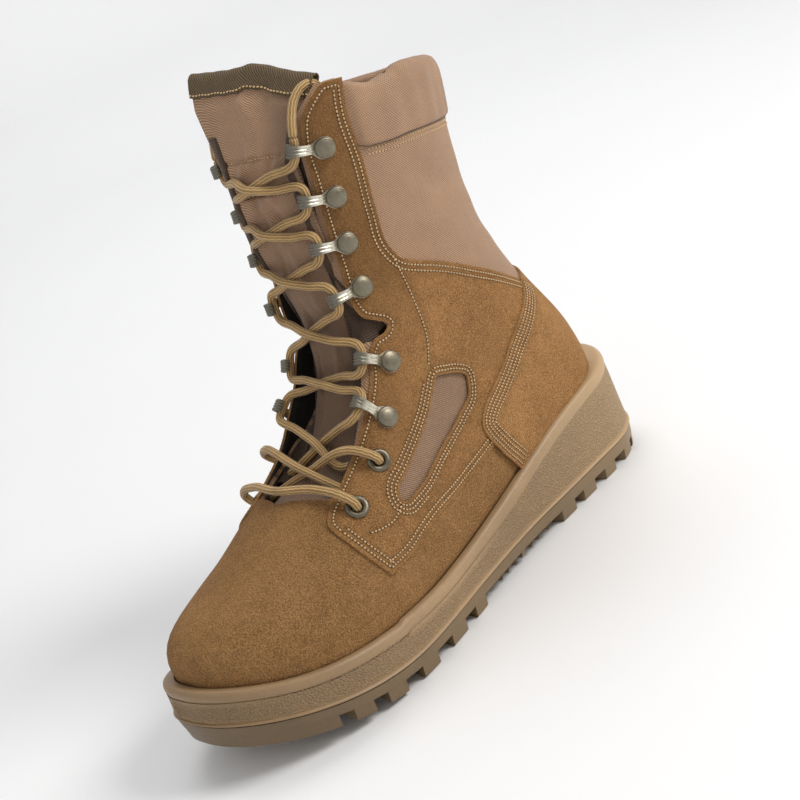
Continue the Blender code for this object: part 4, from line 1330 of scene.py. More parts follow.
def make_upper():
    """The vamp and the shaft, cut from one shell that follows the form."""
    toe = 0.0011 * np.arange(1, 10) ** 2
    finer = [np.linspace(0.10, 0.22, 12), np.linspace(0.23, 0.30, 32), np.linspace(0.307, 1, 120)]
    turns = np.concatenate([[0.0], toe, *finer])
    share = np.linspace(0, 1, 221)
    inward = ease(turns, 0.30, 0.36)
    opening = ease(turns, 0.238, 0.268) ** 0.6
    notch = 0.26 * hump(turns, NOTCH_TURN, 0.024)
    outer, inner = (edge_angle(turns, side) * opening - inward * TUCK + notch for side in (1, -1))
    angle = outer[:, None] + share * (2 * np.pi - inner - outer)[:, None]
    turns, outer, inner, inward = (values[:, None] for values in (turns, outer, inner, inward))
    away = np.minimum(angle, 2 * np.pi - angle)
    top = 1.0 - (1.0 - collar_turn(away) - 0.004) * ease(away, 1.18, 1.3)
    turn = np.where(turns < 0.85, turns, 0.85 + (turns - 0.85) / 0.15 * (top - 0.85))
    lift = shell_lift(turn, angle) - window_dip(turn, angle)
    edge = np.minimum(angle - outer, 2 * np.pi - inner - angle) / TUCK
    lift -= inward * TUCK_DEPTH * (1 - ease(edge, 0, 1.3)) ** 1.5
    points = skin(turn, angle, lift)
    points[0] = form(0.0, 0.0)
    direction = np.arctan2(points[..., 0] - AXIS_X, SHAFT_Y - points[..., 1])
    cloth = np.stack([np.interp(direction, *ARC), points[..., 2]], -1)
    for name, finishes, slot, rim in (
        ("vamp", "suede_vamp lining suede_edge", "suede", 2),
        ("shaft", "twill_shaft lining", "nylon", 0),
    ):
        bm = outward(woven(points, cloth, merge=0.004))
        if name == "shaft":
            drilled(bm)
        gone = [face for face in bm.faces if is_vamp(face.calc_center_median()) != (name == "vamp")]
        bmesh.ops.delete(bm, geom=gone, context="FACES")
        thicken(place_piece(name, bm, finishes, "upper"), SHELL, inner=1, rim=rim)


def is_vamp(point):
    return point.y < VAMP_SEAM_Y or (point.z < VAMP_SEAM_Z and point.y < VAMP_END_Y)


def drilled(bm):
    """Opens the shell under the eyelets."""
    eyelets = [(turn, side * angle) for turn, angle in EYELET_PLACES for _, side in SIDES]
    places = form(*np.transpose(eyelets))
    centres = np.array([face.calc_center_median() for face in bm.faces])
    near = np.linalg.norm(centres[:, None] - places, axis=-1).min(1) < EYELET[1]
    gone = [face for face, drop in zip(bm.faces, near) if drop]
    bmesh.ops.delete(bm, geom=gone, context="FACES")


def ring_hole(turn, angle, side):
    """A round hole's chain of places about an eyelet."""
    place, radius = surface_frame(turn, side * angle), EYELET[1] + 0.1
    round_it = np.linspace(0, math.tau, 20, endpoint=False)
    points = [at(place, radius * math.cos(a), radius * math.sin(a), 0) for a in round_it]
    return settled(np.array(points), np.tile([turn, side * angle], (20, 1)))


def closed_run(points, side):
    """A smooth closed chain of places, its last point short of its first."""
    looped = np.array([*points[-3:], *points, *points[:4]])
    chain = smooth_route(looped, 0.6)
    first = np.linalg.norm(chain - looped[3], axis=1)
    middle = len(chain) // 2
    start, end = first[:middle].argmin(), middle + first[middle:].argmin()
    return on_form(even(chain[start : end + 1], 1.3)[:-1], side)


def make_quarters():
    """Suede quarters with their eyestays, and the nylon behind their windows."""
    edges = (EYESTAY_FRONT, QUARTER_TOE, QUARTER_LOW, QUARTER_HIDDEN, QUARTER_TOP)
    for name, side in SIDES:
        chains = [run(points, side) for points in edges]
        front, toe, low, _, top = chains
        window = closed_run(WINDOW, side)
        holes = [ring_hole(turn, angle, side) for turn, angle in EYELET_PLACES]
        panel = Pattern(chains, [window, *holes])
        inner = in_sign(front, panel)
        panel.row(front, inner * 2.5, 0.015, 1.0)
        panel.row(top, inner * 2.2, 0.02, 0.985)
        panel.row(top, inner * 4.7, 0.02, 0.975)
        for distance in (2.4, 4.9):
            panel.row(toe, inner * distance, 0.06, 0.95)
            panel.row(low, inner * distance, 0.02, 1.0)
        looped = np.concatenate([window, window[:1]])
        outer = in_sign(looped, panel)
        panel.row(looped, outer * 1.9)
        panel.row(looped, outer * 3.8)
        panel.row(looped, outer * 5.7, 0.52, 0.97)
        panel.row(run(EYESTAY_ROW, side), 0)
        panel.row(run(TOE_ROW, side), 0)
        # The quarters' inner faces are painted near-black as shade.
        finishes = "suede_quarter backing suede_edge"
        quarter = place_piece(f"quarter_{name}", panel.body(SUEDE_LIFT), finishes, "upper")
        thicken(quarter, 1.2, inner=1, rim=2, edge=0.3)
        stitches(f"quarter_stitches_{name}", on_skin(panel.rows), SUEDE_LIFT + 0.05, 1.75)
        make_window(name, window)


def in_sign(chain, panel):
    """1 if the left of a chain on the panel's edge lies in its material, else -1."""
    step = beside(chain, 1.0)[len(chain) // 3]
    return 1 if inside(np.array([step * PLANE]), panel.loops())[0] else -1


def make_window(name, window):
    """Nylon behind a quarter's window, with two soft creases."""
    looped = np.concatenate([window, window[:1]])
    for sign in (1, -1):
        grown = beside(looped, sign * 3.0)[:-1]
        if not inside(grown[:1] * PLANE, [window * PLANE])[0]:
            break
    border = form(*looped.T)

    def lift(turn, angle):
        points = form(turn, angle)
        gap = gaps(points, border)
        within = inside(np.column_stack([turn, angle]) * PLANE, [window * PLANE])
        y, z = points[:, 1], points[:, 2]
        crease = hump(z, 92 + (y - 10) * 0.9, 2.6) - 0.7 * hump(z, 84 - (y - 12) * 0.25, 2.2)
        rise = WINDOW_DEPTH * ease(gap, 0, 6) - 0.5 * crease * ease(gap, 0.5, 5)
        return np.where(within, rise, 0) - WINDOW_DEPTH

    panel = Pattern([np.concatenate([grown, grown[:1]])])
    bm = panel.body(lift, spacing=1.8)
    thicken(place_piece(f"window_{name}", bm, "twill_window", "upper"), 0.35, edge=0)


def lip_chain():
    """Places along the sole's lip from the outer side of the heel to its middle."""

    def height(turn, angle):
        point = form(turn, angle)
        return point[..., 2] - lip_z(point[..., 1]) - 0.5

    turns = np.linspace(COUNTER_TURN, HEEL_TURN, 400)
    low = height(turns, np.full_like(turns, np.pi))
    last = turns[np.argmax(low > 0)] if (low > 0).any() else turns[-1]
    turns = np.linspace(COUNTER_TURN, last, 60)
    high, under = np.full_like(turns, np.pi / 2), np.full_like(turns, np.pi)
    for _ in range(30):
        middle = (high + under) / 2
        above = height(turns, middle) > 0
        high, under = np.where(above, middle, high), np.where(above, under, middle)
    under[-1] = np.pi
    return np.column_stack([turns, under])


def flipped(chain):
    """The inner side's match of a chain, walked the other way."""
    return (chain * [1, -1] + [0, 2 * np.pi])[::-1]


def make_heel():
    """The suede counter round the heel, and the tape that stands over it."""
    low = lip_chain()
    front = thinned(np.concatenate([run(COUNTER_FRONT), low[:1]]), 1.5)
    across = np.linspace(front[0, 1], np.pi, 40)
    top = np.column_stack([level_turn(np.linspace(*COUNTER_TOP, 40), across), across])
    top[0] = front[0]
    chains = [
        front,
        np.concatenate([low, flipped(low)[1:]]),
        flipped(front),
        np.concatenate([flipped(top)[::-1], top[::-1][1:]]),
    ]
    panel = Pattern(chains)
    inner = in_sign(front, panel)
    for chain in (chains[0], chains[2]):
        for distance in (2.0, 4.2, 6.4, 8.6):
            panel.row(chain, inner * distance, 0.01, 0.985)
    finishes = "suede_counter suede_counter suede_edge"
    counter = place_piece(
        "heel_counter_suede", panel.body(COUNTER_LIFT), finishes, "heel_counter"
    )
    thicken(counter, 1.1, inner=1, rim=2, edge=0.3)
    stitches("counter_stitches", on_skin(panel.rows), COUNTER_LIFT + 0.05, 1.6)

    height = np.linspace(*TAPE_Z, 60)
    across = np.linspace(-TAPE_HALF, TAPE_HALF, 13)
    turn = level_turn(height, np.pi)
    breadth, n = (through(SECTIONS, name, "turn", turn)[:, None] for name in ("lateral", "low_n"))
    out = np.abs(across)[None] / breadth
    angle = np.pi - np.arctan2(out, (1 - out**n) ** (1 / n)) * np.sign(across)
    stand = 1.4 + 1.6 * ease(height, 135, 158) * (1 - ease(height, 186, 203))
    lift = stand[:, None] + 0.35 * (1 - (across / TAPE_HALF) ** 4)[None]
    points = skin(turn[:, None] + 0 * angle, angle, lift)
    cloth = np.stack(np.broadcast_arrays(height[:, None], across[None]), -1)
    bm = face_out(woven(points, cloth), (0, 1, 0))
    tape = place_piece("backstay_tape", bm, "backstay_tape", "backstay")
    thicken(tape, 1.3, edge=0.3)
    rows = [(points[:, edge], form_normal(turn, angle[:, edge])) for edge in (2, -3)]
    stitches("backstay_stitches", rows, 0.05, 2.2)


def level_turn(height, angle):
    """The turn at which a line at this angle reaches a height."""
    turns = np.linspace(0.5, 1, 400)
    pairs = zip(*np.broadcast_arrays(height, angle))
    return np.array([np.interp(z, form(turns, a)[:, 2], turns) for z, a in pairs])


def face_out(bm, direction):
    """Turns an open sheet so that its faces look along a direction."""
    bm.normal_update()
    bm.faces.ensure_lookup_table()
    if bm.faces[len(bm.faces) // 2].normal.dot(Vector(direction)) < 0:
        bmesh.ops.reverse_faces(bm, faces=bm.faces)
    return bm


# ---- collar and tongue ----

# The padded collar's section: where each point lies between its seam (0) and the rim
# (1), how deep under the form, and how far above the rim. It runs up outside, over, and
# down inside.
COLLAR = table(
    "part inset rise",
    (0.00, 2.0, 0.0),
    (-0.012, 0.4, 0.0),
    (-0.012, -1.1, 0.0),
    (0.02, -2.0, 0.0),
    (0.14, -2.4, 0.0),
    (0.50, -2.7, 0.0),
    (0.76, -2.4, 0.0),
    (0.92, -1.4, 0.0),
    (0.96, 0.4, 0.5),
    (0.97, 3.0, 1.1),
    (0.97, 6.0, 0.8),
    (0.95, 8.2, 0.0),
    (0.88, 9.2, 0.0),
    (0.60, 9.6, 0.0),
    (0.20, 9.3, 0.0),
    (-0.10, 8.2, 0.0),
    (-0.24, 5.8, 0.0),
    (-0.22, 3.2, 0.0),
    (-0.05, 2.6, 0.0),
)
COLLAR_FROM, COLLAR_TO = 67, 293  # the collar's ends in degrees
# Gathers of the collar over its rim: the angle in degrees, half width and depth.
GATHERS = (
    (84, 2.2, 1.0), (95, 2.6, 2.4), (105, 2.0, 1.3), (113, 3.2, 1.6), (128, 2.4, 0.9),
    (141, 3.4, 1.4), (158, 2.6, 1.0), (171, 3.6, 1.3), (186, 2.6, 1.0), (201, 3.6, 1.4),
    (219, 2.4, 0.9), (233, 3.2, 1.5), (247, 2.2, 1.0), (262, 2.8, 1.4), (275, 2.2, 0.9),
)


def make_collar():
    """The soft collar: a padded roll from its seam up over the rim and down inside."""
    degrees = np.linspace(COLLAR_FROM, COLLAR_TO, 260)
    angle = np.radians(degrees)
    steps = np.arange(len(COLLAR["part"]) + 1.0)
    fine = np.linspace(0, steps[-1], 73)
    part, inset, rise = (
        smooth(steps, np.append(column, column[0]), fine) for column in COLLAR.values()
    )
    seam = collar_turn(angle)
    dip = 0.17 * hump(degrees, 84, 13) + 0.06 * hump(degrees, 268, 12)
    turn = np.clip(seam[:, None] + ((1 - seam) * (1 - dip))[:, None] * part[None], 0, 1)
    inset = inset[None] + 0 * turn
    rise = rise[None] + 0 * turn
    share = fine / steps[-1]
    over = ease(share, 0.30, 0.46) * (1 - ease(share, 0.72, 0.86))
    outer = ease(share, 0.08, 0.2) * (1 - ease(share, 0.3, 0.4))
    for centre, width, depth in GATHERS:
        press = hump(degrees, centre, width)[:, None] * depth * over
        uneven = 1 + 0.15 * np.sin(centre)
        inset = inset + press * np.where(inset < 5, 0.55, -0.75) * uneven
        rise = rise - press * 0.55 * (rise > 1)
    swell = 0.35 * np.sin(degrees * 0.21) + 0.25 * np.sin(degrees * 0.47 + 1)
    inset = inset + outer[None] * swell[:, None]
    shrink = ease(degrees, COLLAR_FROM, COLLAR_FROM + 6)
    shrink = (shrink * (1 - ease(degrees, COLLAR_TO - 6, COLLAR_TO)))[:, None]
    inset = 1.6 + (inset - 1.6) * (0.35 + 0.65 * shrink)
    rise = rise * (0.3 + 0.7 * shrink)
    points = form(turn, angle[:, None]) - form_normal(turn, angle[:, None]) * inset[..., None]
    points[..., 2] += rise
    cloth = np.stack([arc_lengths(points, 0)[:, 20:21] + 0 * inset, arc_lengths(points, 1)], -1)
    bm = woven(points, cloth, merge=0.0005)
    ends = [edge for edge in bm.edges if len(edge.link_faces) == 1]
    bmesh.ops.holes_fill(bm, edges=ends, sides=0)
    collar = place_piece("collar_padding", outward(bm), "twill_collar", "collar_pad")
    rows = []
    for below in (1.9, 4.1):
        chain = np.column_stack([collar_turn(angle[8:-8]), angle[8:-8]])
        moved = beside(chain, -below)
        if moved[40, 0] > chain[40, 0]:
            moved = beside(chain, below)
        rows.append((skin(*moved.T, shell_lift(*moved.T)), form_normal(*moved.T)))
    stitches("collar_stitches", rows, 0.05, 1.75)
    # A dark cord tucked under the collar's lower edge, as painted shadow along its seam.
    chain = np.column_stack([collar_turn(angle[3:-3]) - 0.0006, angle[3:-3]])
    welt = tube(even(skin(*chain.T, shell_lift(*chain.T) + 0.25), 1.0), 0.55, sides=8)
    place_piece("collar_seam_shadow", welt, "welt", "collar_pad")


# The tongue's creases: two ends as turn and spread, half width in millimetres, height.
TONGUE_FOLDS = (
    (0.905, -1.1, 0.905, 0.7, 1.6, -1.3),
    (0.815, -0.75, 0.815, 0.50, 1.6, -1.3),
    (0.96, 0.10, 1.03, -0.15, 3.4, 0.9),
    (0.97, 0.42, 1.04, 0.30, 4.0, -0.9),
    (0.89, -0.10, 0.93, -0.02, 3.0, 1.0),
    (0.87, 0.40, 0.92, 0.48, 3.0, -1.0),
    (0.86, -0.45, 0.90, -0.30, 3.4, 0.8),
    (0.79, 0.28, 0.845, 0.10, 3.0, 1.1),
    (0.76, -0.25, 0.84, -0.35, 3.2, -1.0),
    (0.70, 0.30, 0.77, 0.18, 2.8, -1.0),
    (0.68, 0.05, 0.75, 0.00, 2.4, 1.2),
    (0.60, -0.25, 0.69, -0.15, 3.2, -0.9),
    (0.56, 0.30, 0.66, 0.22, 3.0, 1.0),
    (0.48, 0.05, 0.56, -0.15, 3.0, -1.0),
    (0.40, 0.25, 0.50, 0.35, 3.0, 0.9),
    (0.36, -0.20, 0.46, -0.30, 3.0, -0.8),
)
DARTS = ((0.905, -0.95, 0.55), (0.815, -0.6, 0.35))
TAPE_DEPTH, TAPE_LEVELS = 8.0, (1.0, 0.66, 0.33)
TONGUE_TURN = 262.0  # the tongue's length for a whole turn


def tongue_height(turn, spread):
    """Height of the tongue's creases."""
    total = np.zeros(np.broadcast(turn, spread).shape)
    across, along = 33.0, 330.0  # millimetres for a whole spread and turn
    for t0, s0, t1, s1, width, height in TONGUE_FOLDS:
        dx, dy = (s1 - s0) * across, (t1 - t0) * along
        px, py = (spread - s0) * across, (turn - t0) * along
        k = np.clip((px * dx + py * dy) / (dx * dx + dy * dy), 0, 1)
        gap = np.hypot(px - k * dx, py - k * dy)
        total += height * hump(gap, 0, width) * np.sin(np.pi * np.clip(k, 0.15, 0.85))
    edge = 1 - ease(np.abs(spread), 0.8, 1.0)
    return 1.7 * total * edge * ease(turn, 0.30, 0.38) * (1 - ease(turn, 1.025, 1.045))


def make_tongue():
    """The tongue, its bound top and its darts."""
    turns = np.concatenate([np.linspace(0.15, 0.34, 26), np.linspace(0.345, TONGUE_TOP, 190)])
    spread = np.linspace(-1, 1, 61)
    past = tongue_top(spread)[None] - turns[-1]
    turn = turns[:, None] + past * ease(turns, 0.85, TONGUE_TOP)[:, None]
    points = tongue_face(turn, spread[None], tongue_height(turn, spread[None]))
    cloth = np.stack([arc_lengths(points, 1) - 33, arc_lengths(points, 0)], -1)
    bm = face_out(woven(points, cloth), (0, -1, 0.4))
    tongue = place_piece("tongue_cloth", bm, "twill_tongue lining", "tongue")
    thicken(tongue, TONGUE_WALL, inner=1, edge=0.9, segments=3)

    spread = np.linspace(-1.03, 1.03, 90)
    top = tongue_top(spread)
    wall, lift = TONGUE_WALL, 0.35
    section = [(-TAPE_DEPTH * share, lift) for share in TAPE_LEVELS] + [(-0.6, lift)]
    section += [
        (math.sin(a) * (wall / 2 + lift), (math.cos(a) - 1) * (wall / 2 + lift) + lift)
        for a in np.linspace(0.15, np.pi - 0.15, 7)
    ]
    section += [(down, -wall - lift) for down in (-0.6, -TAPE_DEPTH * 0.5, -TAPE_DEPTH * 0.9)]
    rows = []
    for down, out in section:
        sway = 0.35 * np.sin(spread * 9.0) + 0.2 * np.sin(spread * 23 + 1)
        turn = top + (down + (sway if down < -6 else 0.5 * sway)) / TONGUE_TURN
        rows.append(tongue_face(turn, spread, out + tongue_height(turn, spread)))
    points = np.array(rows)
    cloth = np.stack([arc_lengths(points, 1), arc_lengths(points, 0)], -1)
    bm = face_out(woven(points, cloth), (0, 0, 1))
    tape = place_piece("tongue_binding", bm, "binding", "tongue")
    thicken(tape, 0.75, offset=1.0, edge=0.2)
    rows = [tape_row(points[0], points[1], 0.14)]
    for turn, start, end in DARTS:
        across = np.linspace(start, end, 40)
        chain = tongue_face(turn, across, tongue_height(turn, across))
        ahead = tongue_face(turn + 0.004, across) - tongue_face(turn, across)
        rows.append((chain, unit(np.cross(np.gradient(chain, axis=0), ahead))))
    stitches("tongue_stitches", rows, 0.15, 2.0)


def tape_row(low, high, share):
    """A stitch row along the binding's lower edge, on its outer face."""
    chain = low + (high - low) * (share / (TAPE_LEVELS[0] - TAPE_LEVELS[1]))
    normal = unit(np.cross(np.gradient(chain, axis=0), high - low))
    return chain + normal * 0.75, normal


def tongue_top(spread):
    """The turn that the tongue's top edge reaches, a little lower at its corners."""
    return TONGUE_TOP + 0.0025 * np.sin(spread * 5 + 0.6)


def make_gussets():
    """Folded nylon that joins the tongue's sides to the eyestays."""
    turn = np.linspace(0.30, 0.955, 150)
    for name, side in SIDES:
        edge = edge_angle(turn, side)
        out, out_at_low = form_normal(turn, side * edge), form_normal(turn, side * 0.7)
        start = form(turn, side * (edge + 0.07)) - out * 2.75
        lip = form(turn, side * (edge - 0.03)) - out * (3.4 + 0.5 * np.sin(turn * 46)[:, None])
        low = form(turn, side * (edge - 0.07)) - out * 6.6
        sway = 0.36 * np.sin(turn * 60 + side) + 0.24 * np.sin(turn * 131)
        foot = tongue_face(turn, side * 0.80, 0.3) + form_normal(turn, side * 0.6) * sway[:, None]
        rest = tongue_face(turn, side * 0.96, 0.0) - out_at_low * 0.2
        route = np.stack([start, lip, low, (foot + low) / 2 - out_at_low * 0.6, foot, rest])
        columns = np.arange(len(route), dtype=float)
        fine = np.linspace(0, len(route) - 1, 26)
        flat = route.reshape(len(route), -1)
        points = np.stack([smooth(columns, column, fine) for column in flat.T], -1)
        points = points.reshape(len(fine), len(turn), 3)
        cloth = np.stack([arc_lengths(points, 1), arc_lengths(points, 0)], -1)
        bm = face_out(woven(points, cloth), (0, -1, 0.3))
        # Its twill is darkened as painted shade.
        gusset = place_piece(f"gusset_{name}", bm, "twill_gusset", "tongue")
        thicken(gusset, 0.5, edge=0)


# ---- the sole ----

# The midsole's wall from its joint up over its lip: how far each level stands out from
# the outline, its share of the height from joint to lip, and a height in millimetres.
WALL_LEVELS = (
    (-2.2, 0.0, 0.15),
    (-0.6, 0.0, 0.15),
    (0.35, 0.0, 0.45),
    (0.6, 0.0, 0.9),
    (0.35, 0.0, 1.35),
    (-0.45, 0.0, 1.8),
    (-0.35, 0.0, 2.6),
    (-0.4, 0.0, 3.6),
    (-0.6, 0.25, 1.2),
    (-0.8, 0.5, 0.0),
    (-1.0, 0.75, -1.4),
    (-1.2, 1.0, -6.4),
    (-1.4, 1.0, -5.9),
    (-1.36, 1.0, -5.4),
    (-1.12, 1.0, -4.8),
    (-1.0, 1.0, -4.0),
    (-1.0, 1.0, -3.2),
    (-1.15, 1.0, -2.2),
    (-1.6, 1.0, -1.1),
    (-2.3, 1.0, -0.4),
    (-3.2, 1.0, 0.0),
    (-4.6, 1.0, 0.0),
)
STEP_Y = -66.0  # the lip steps down a little in front of this


def lip_step(points):
    """The lip's small step at the toe piece's joint."""
    y = points[:, 1]
    return -1.1 * (1 - ease(y, STEP_Y - 1.2, STEP_Y + 1.2)) * ease(y, -150, -110)


def sole_shape(rings):
    """A closed body through rings of the sole's outline, lowest first."""
    points = np.array(rings)
    points = np.concatenate([points, points[:, :1]], 1)
    bm = woven(points, merge=0.0005)
    bm.verts.ensure_lookup_table()
    tree = search_tree([vert.co for vert in bm.verts])
    for ring in (rings[0], rings[-1]):
        row = [bm.verts[tree.find(point)[1]] for point in ring]
        for i in range(len(row) // 2 - 1):
            quad = (row[i], row[i + 1], row[-2 - i], row[-1 - i])
            if len(set(quad)) == 4 and not bm.faces.get(quad):
                bm.faces.new(quad)
    return outward(bm)


def toe_rib(points):
    """A small upright rib moulded on the toe's middle."""
    x, y, z = points.T
    low, high = split_z(y) + 2.2, lip_z(y) - 6.0
    band = ease(z, low, low + 1.5) * (1 - ease(z, high - 1, high))
    return 0.9 * np.exp(-(((x - AXIS_X + 9.0) / 1.6) ** 4)) * band * (y < -130)


def make_midsole():
    """The moulded cup: rounded lip, pebbled wall and raised parting line."""
    rings = []
    for grow, share, height in WALL_LEVELS:
        edge = outline(grow, 170)
        y = edge[:, 1]
        z = split_z(y) * (1 - share) + lip_z(y) * share + height
        ring = np.column_stack([edge, z])
        ring[:, 2] += lip_step(ring) * share
        ring[:, 1] -= toe_rib(ring)
        rings.append(ring)
    shape = sole_shape(rings)
    obj = place_piece("midsole_cup", shape, "midsole_compound", "midsole")
    cup = cup_form(0.5)
    cut = obj.modifiers.new("cup", "BOOLEAN")
    cut.operation, cut.solver, cut.object = "DIFFERENCE", "EXACT", cup
    applied(obj)
    bpy.data.objects.remove(cup)
    bm = bmesh.new()
    bm.from_mesh(obj.data)
    bmesh.ops.remove_doubles(bm, verts=bm.verts, dist=1e-6)
    bm.to_mesh(obj.data)
    bm.free()
    obj.data.shade_smooth()
    obj.data.set_sharp_from_angle(angle=math.radians(38))
    points = np.array([vert.co for vert in obj.data.vertices]) / MM
    y, z = points[:, 1], points[:, 2]
    low, high = split_z(y), lip_z(y)
    mask = ease(z, low + 2.0, low + 3.4) * (1 - ease(z, high - 6.6, high - 5.6))
    obj.data.attributes.new("pebbled", "FLOAT", "POINT").data.foreach_set("value", mask)


def cup_form(grow):
    """The form as a closed shape, grown, to cut the midsole's cup."""
    toe = 0.0017 * np.arange(1, 8) ** 2
    turns = np.concatenate([toe, np.linspace(0.12, 0.8, 40)])
    angle = np.linspace(0, 2 * np.pi, 65)
    points = [form(turn, angle) + form_normal(turn, angle) * grow for turn in turns]
    nose = np.tile(form(0, 0) + np.array([0, -grow, 0]), (65, 1))
    middle = np.tile(points[-1][:-1].mean(0), (65, 1))
    bm = woven(np.array([nose, *points, middle]), merge=0.0005)
    return link("cup", to_mesh(outward(bm), "cup"))


# A lug's levels: how far it stands out from the outline, how far its inner corners are
# drawn in, and its height.
LUG_LEVELS = ((-2.7, 0.7, 0.0), (-1.9, 0.25, 0.75), (-0.9, 0.0, LUG_DEPTH + 0.8))


def add_lug(bm, corners, chain, lowest=0.0):
    """Adds a lug between its inner corners and a chain of the outline's points. Its foot
    lies no lower than lowest."""
    rows = []
    for grow, draft, height in LUG_LEVELS:
        edge = outline(grow)[chain]
        plan = np.concatenate([np.array(corners).reshape(-1, 2), edge])
        inner = plan[: len(corners)]
        inner += unit(plan.mean(0) - inner) * draft * 1.3
        z = spring(plan[:, 1]) + height
        if lowest:
            z = np.maximum(z, lowest + (0.75 if height == 0.75 else 0))
        rows.append([bm.verts.new(point) for point in np.column_stack([plan, z])])
    bm.faces.new(rows[0][::-1])
    bm.faces.new(rows[-1])
    for low, high in zip(rows, rows[1:]):
        for i in range(len(low)):
            j = (i + 1) % len(low)
            bm.faces.new((low[i], low[j], high[j], high[i]))


def make_outsole():
    """The lugged tread."""
    levels = (
        (-1.4, lambda y: spring(y) + LUG_DEPTH),
        (-0.8, lambda y: spring(y) + LUG_DEPTH + 0.5),
        (-0.5, lambda y: spring(y) * 0.5 + (split_z(y) - 1.0) * 0.5 + LUG_DEPTH * 0.5),
        (-0.1, lambda y: split_z(y) - 0.9),
        (-0.1, lambda y: split_z(y) - 0.15),
    )
    edges = [(outline(grow), height) for grow, height in levels]
    bm = sole_shape([np.column_stack([edge, height(edge[:, 1])]) for edge, height in edges])
    base = outline(-1.0)
    x, y = base.T

    def reaching(inner, side, from_middle, half, gap):
        """The outline's points that a lug reaches, front first."""
        chain = np.flatnonzero((np.abs(from_middle) < half) & (side * (x - inner) > gap))
        return chain[y[chain].argsort()]

    for inner, outer, middle, sweep, length in zip(*LUGS.values()):
        half, side = length / 2, 1 if outer > inner else -1
        if abs(outer) > 90:
            swept = sweep * np.abs(x - inner) / SWEPT
            chain = reaching(inner, side, y - middle - swept, half, 6)
            add_lug(bm, [(inner, middle + half), (inner, middle - half)], chain)
        else:
            far = middle + sweep * abs(outer - inner) / SWEPT
            corners = [(inner, middle - half), (outer, far - half)]
            add_lug(bm, [*corners, (outer, far + half), (inner, middle + half)], [])
    heel = np.flatnonzero(y > HEEL_LUG_Y)
    half = len(base) // 2
    add_lug(bm, [], np.flatnonzero(y < TOE_LUG_Y))
    add_lug(bm, [], np.concatenate([heel[heel >= half], heel[heel < half]]))
    pitch = (SHANK_TO - SHANK_FROM) / SHANK_RIBS
    for i in range(SHANK_RIBS):
        middle = SHANK_FROM + pitch * (i + 0.5)
        for inner, side in ((20, 1), (-18, -1)):
            chain = reaching(inner, side, y - middle, RIB / 2, 4)
            add_lug(bm, [(inner, middle + RIB / 2), (inner, middle - RIB / 2)], chain, SHANK_DEPTH)
    mesh = to_mesh(outward(bm), "outsole_tread", sharp=32)
    place_piece("outsole_tread", mesh, "outsole_rubber", "outsole")


def dress_insole():
    """Gives the CAD insole its cloth."""
    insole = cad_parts["insole"]
    insole.data.materials.clear()
    insole.data.materials.append(finished("insole_cloth"))


# ---- hardware ----

# A hook's plate from behind its stud to its curled tip: reach, height and half width.
PLATE = table(
    "reach height half",
    (-4.9, 1.35, 0.6),
    (-4.4, 1.35, 2.2),
    (-3.0, 1.35, 4.0),
    (-1.0, 1.35, 4.85),
    (1.5, 1.35, 4.7),
    (3.6, 1.5, 3.7),
    (5.2, 1.9, 2.6),
    (7.0, 2.9, 2.1),
    (9.0, 3.8, 2.15),
    (12.0, 4.3, 2.3),
    (14.5, 4.45, 2.6),
    (16.2, 3.9, 2.85),
    (17.4, 2.6, 2.9),
    (17.8, 1.0, 2.9),
    (17.2, -0.5, 2.85),
    (16.2, -1.4, 2.6),
)
PLATE_METAL = 1.0


def hook_plate():
    """The hook's strip with grooves along its arm and ridges on its curled tip."""
    steps = lengths_along(np.column_stack([PLATE["reach"], PLATE["height"]]))
    fine = even_steps(steps, 0.297)
    reach, height, half = (smooth(steps, column, fine) for column in PLATE.values())
    slope = unit(np.stack([np.gradient(reach), np.gradient(height)], -1))
    arm = ease(reach, 5.0, 7.5) * ease(fine, 8, 10)
    tip = ease(fine, fine[-1] - 7.5, fine[-1] - 6)
    wide = np.linspace(-1, 1, 27)[None] * half[:, None]
    groove = hump(wide, 0.75, 0.32) + hump(wide, -0.75, 0.32)
    ridge = 0.5 + 0.5 * np.cos(wide * math.tau / 1.35)
    sink = -0.34 * groove * (arm * (1 - tip))[:, None] - 0.4 * ridge * tip[:, None]
    points = [reach[:, None] - slope[:, 1:] * sink, wide, height[:, None] + slope[:, :1] * sink]
    cloth = np.stack(np.broadcast_arrays(fine[:, None], wide), -1)
    return face_out(woven(np.stack(points, -1), cloth), (0, 0, 1))


# The outer face of a hook's stud below its dome: radii and heights.
STUD = ((0.0, 1.0), (4.3, 1.0), (4.75, 1.25), (4.75, 2.1), (4.35, 2.55), (4.0, 2.62), (3.8, 2.75))


def make_hooks():
    """Speed hooks: a grooved plate with a curled tip under a domed stud."""
    plate = to_mesh(hook_plate(), "plate")
    angles = np.linspace(1.25, 0, 9)
    dome = [(3.75 * math.sin(a), 2.8 + math.cos(a) - math.cos(angles[0])) for a in angles]
    stud = outward(spun([*STUD, *dome], 48))
    bmesh.ops.translate(stud, verts=stud.verts, vec=(0, 0, 0.55))
    stud = to_mesh(stud, "stud", sharp=50)
    parts = (("plate", plate, "hook_plate"), ("stud", stud, "stud_pewter"))
    for i in range(len(HOOKS["turn"])):
        for name, side in SIDES:
            place = hook_frame(i, side) @ Matrix.Translation((0, 0, 0.35 * MM))
            node = f"hook_{name}_{i + 1}"
            for part, mesh, finish in parts:
                mesh = mesh.copy()
                mesh.transform(place)
                piece = place_piece(f"{node}_{part}", mesh, finish, node)
                if part == "plate":
                    thicken(piece, PLATE_METAL, edge=0.22)


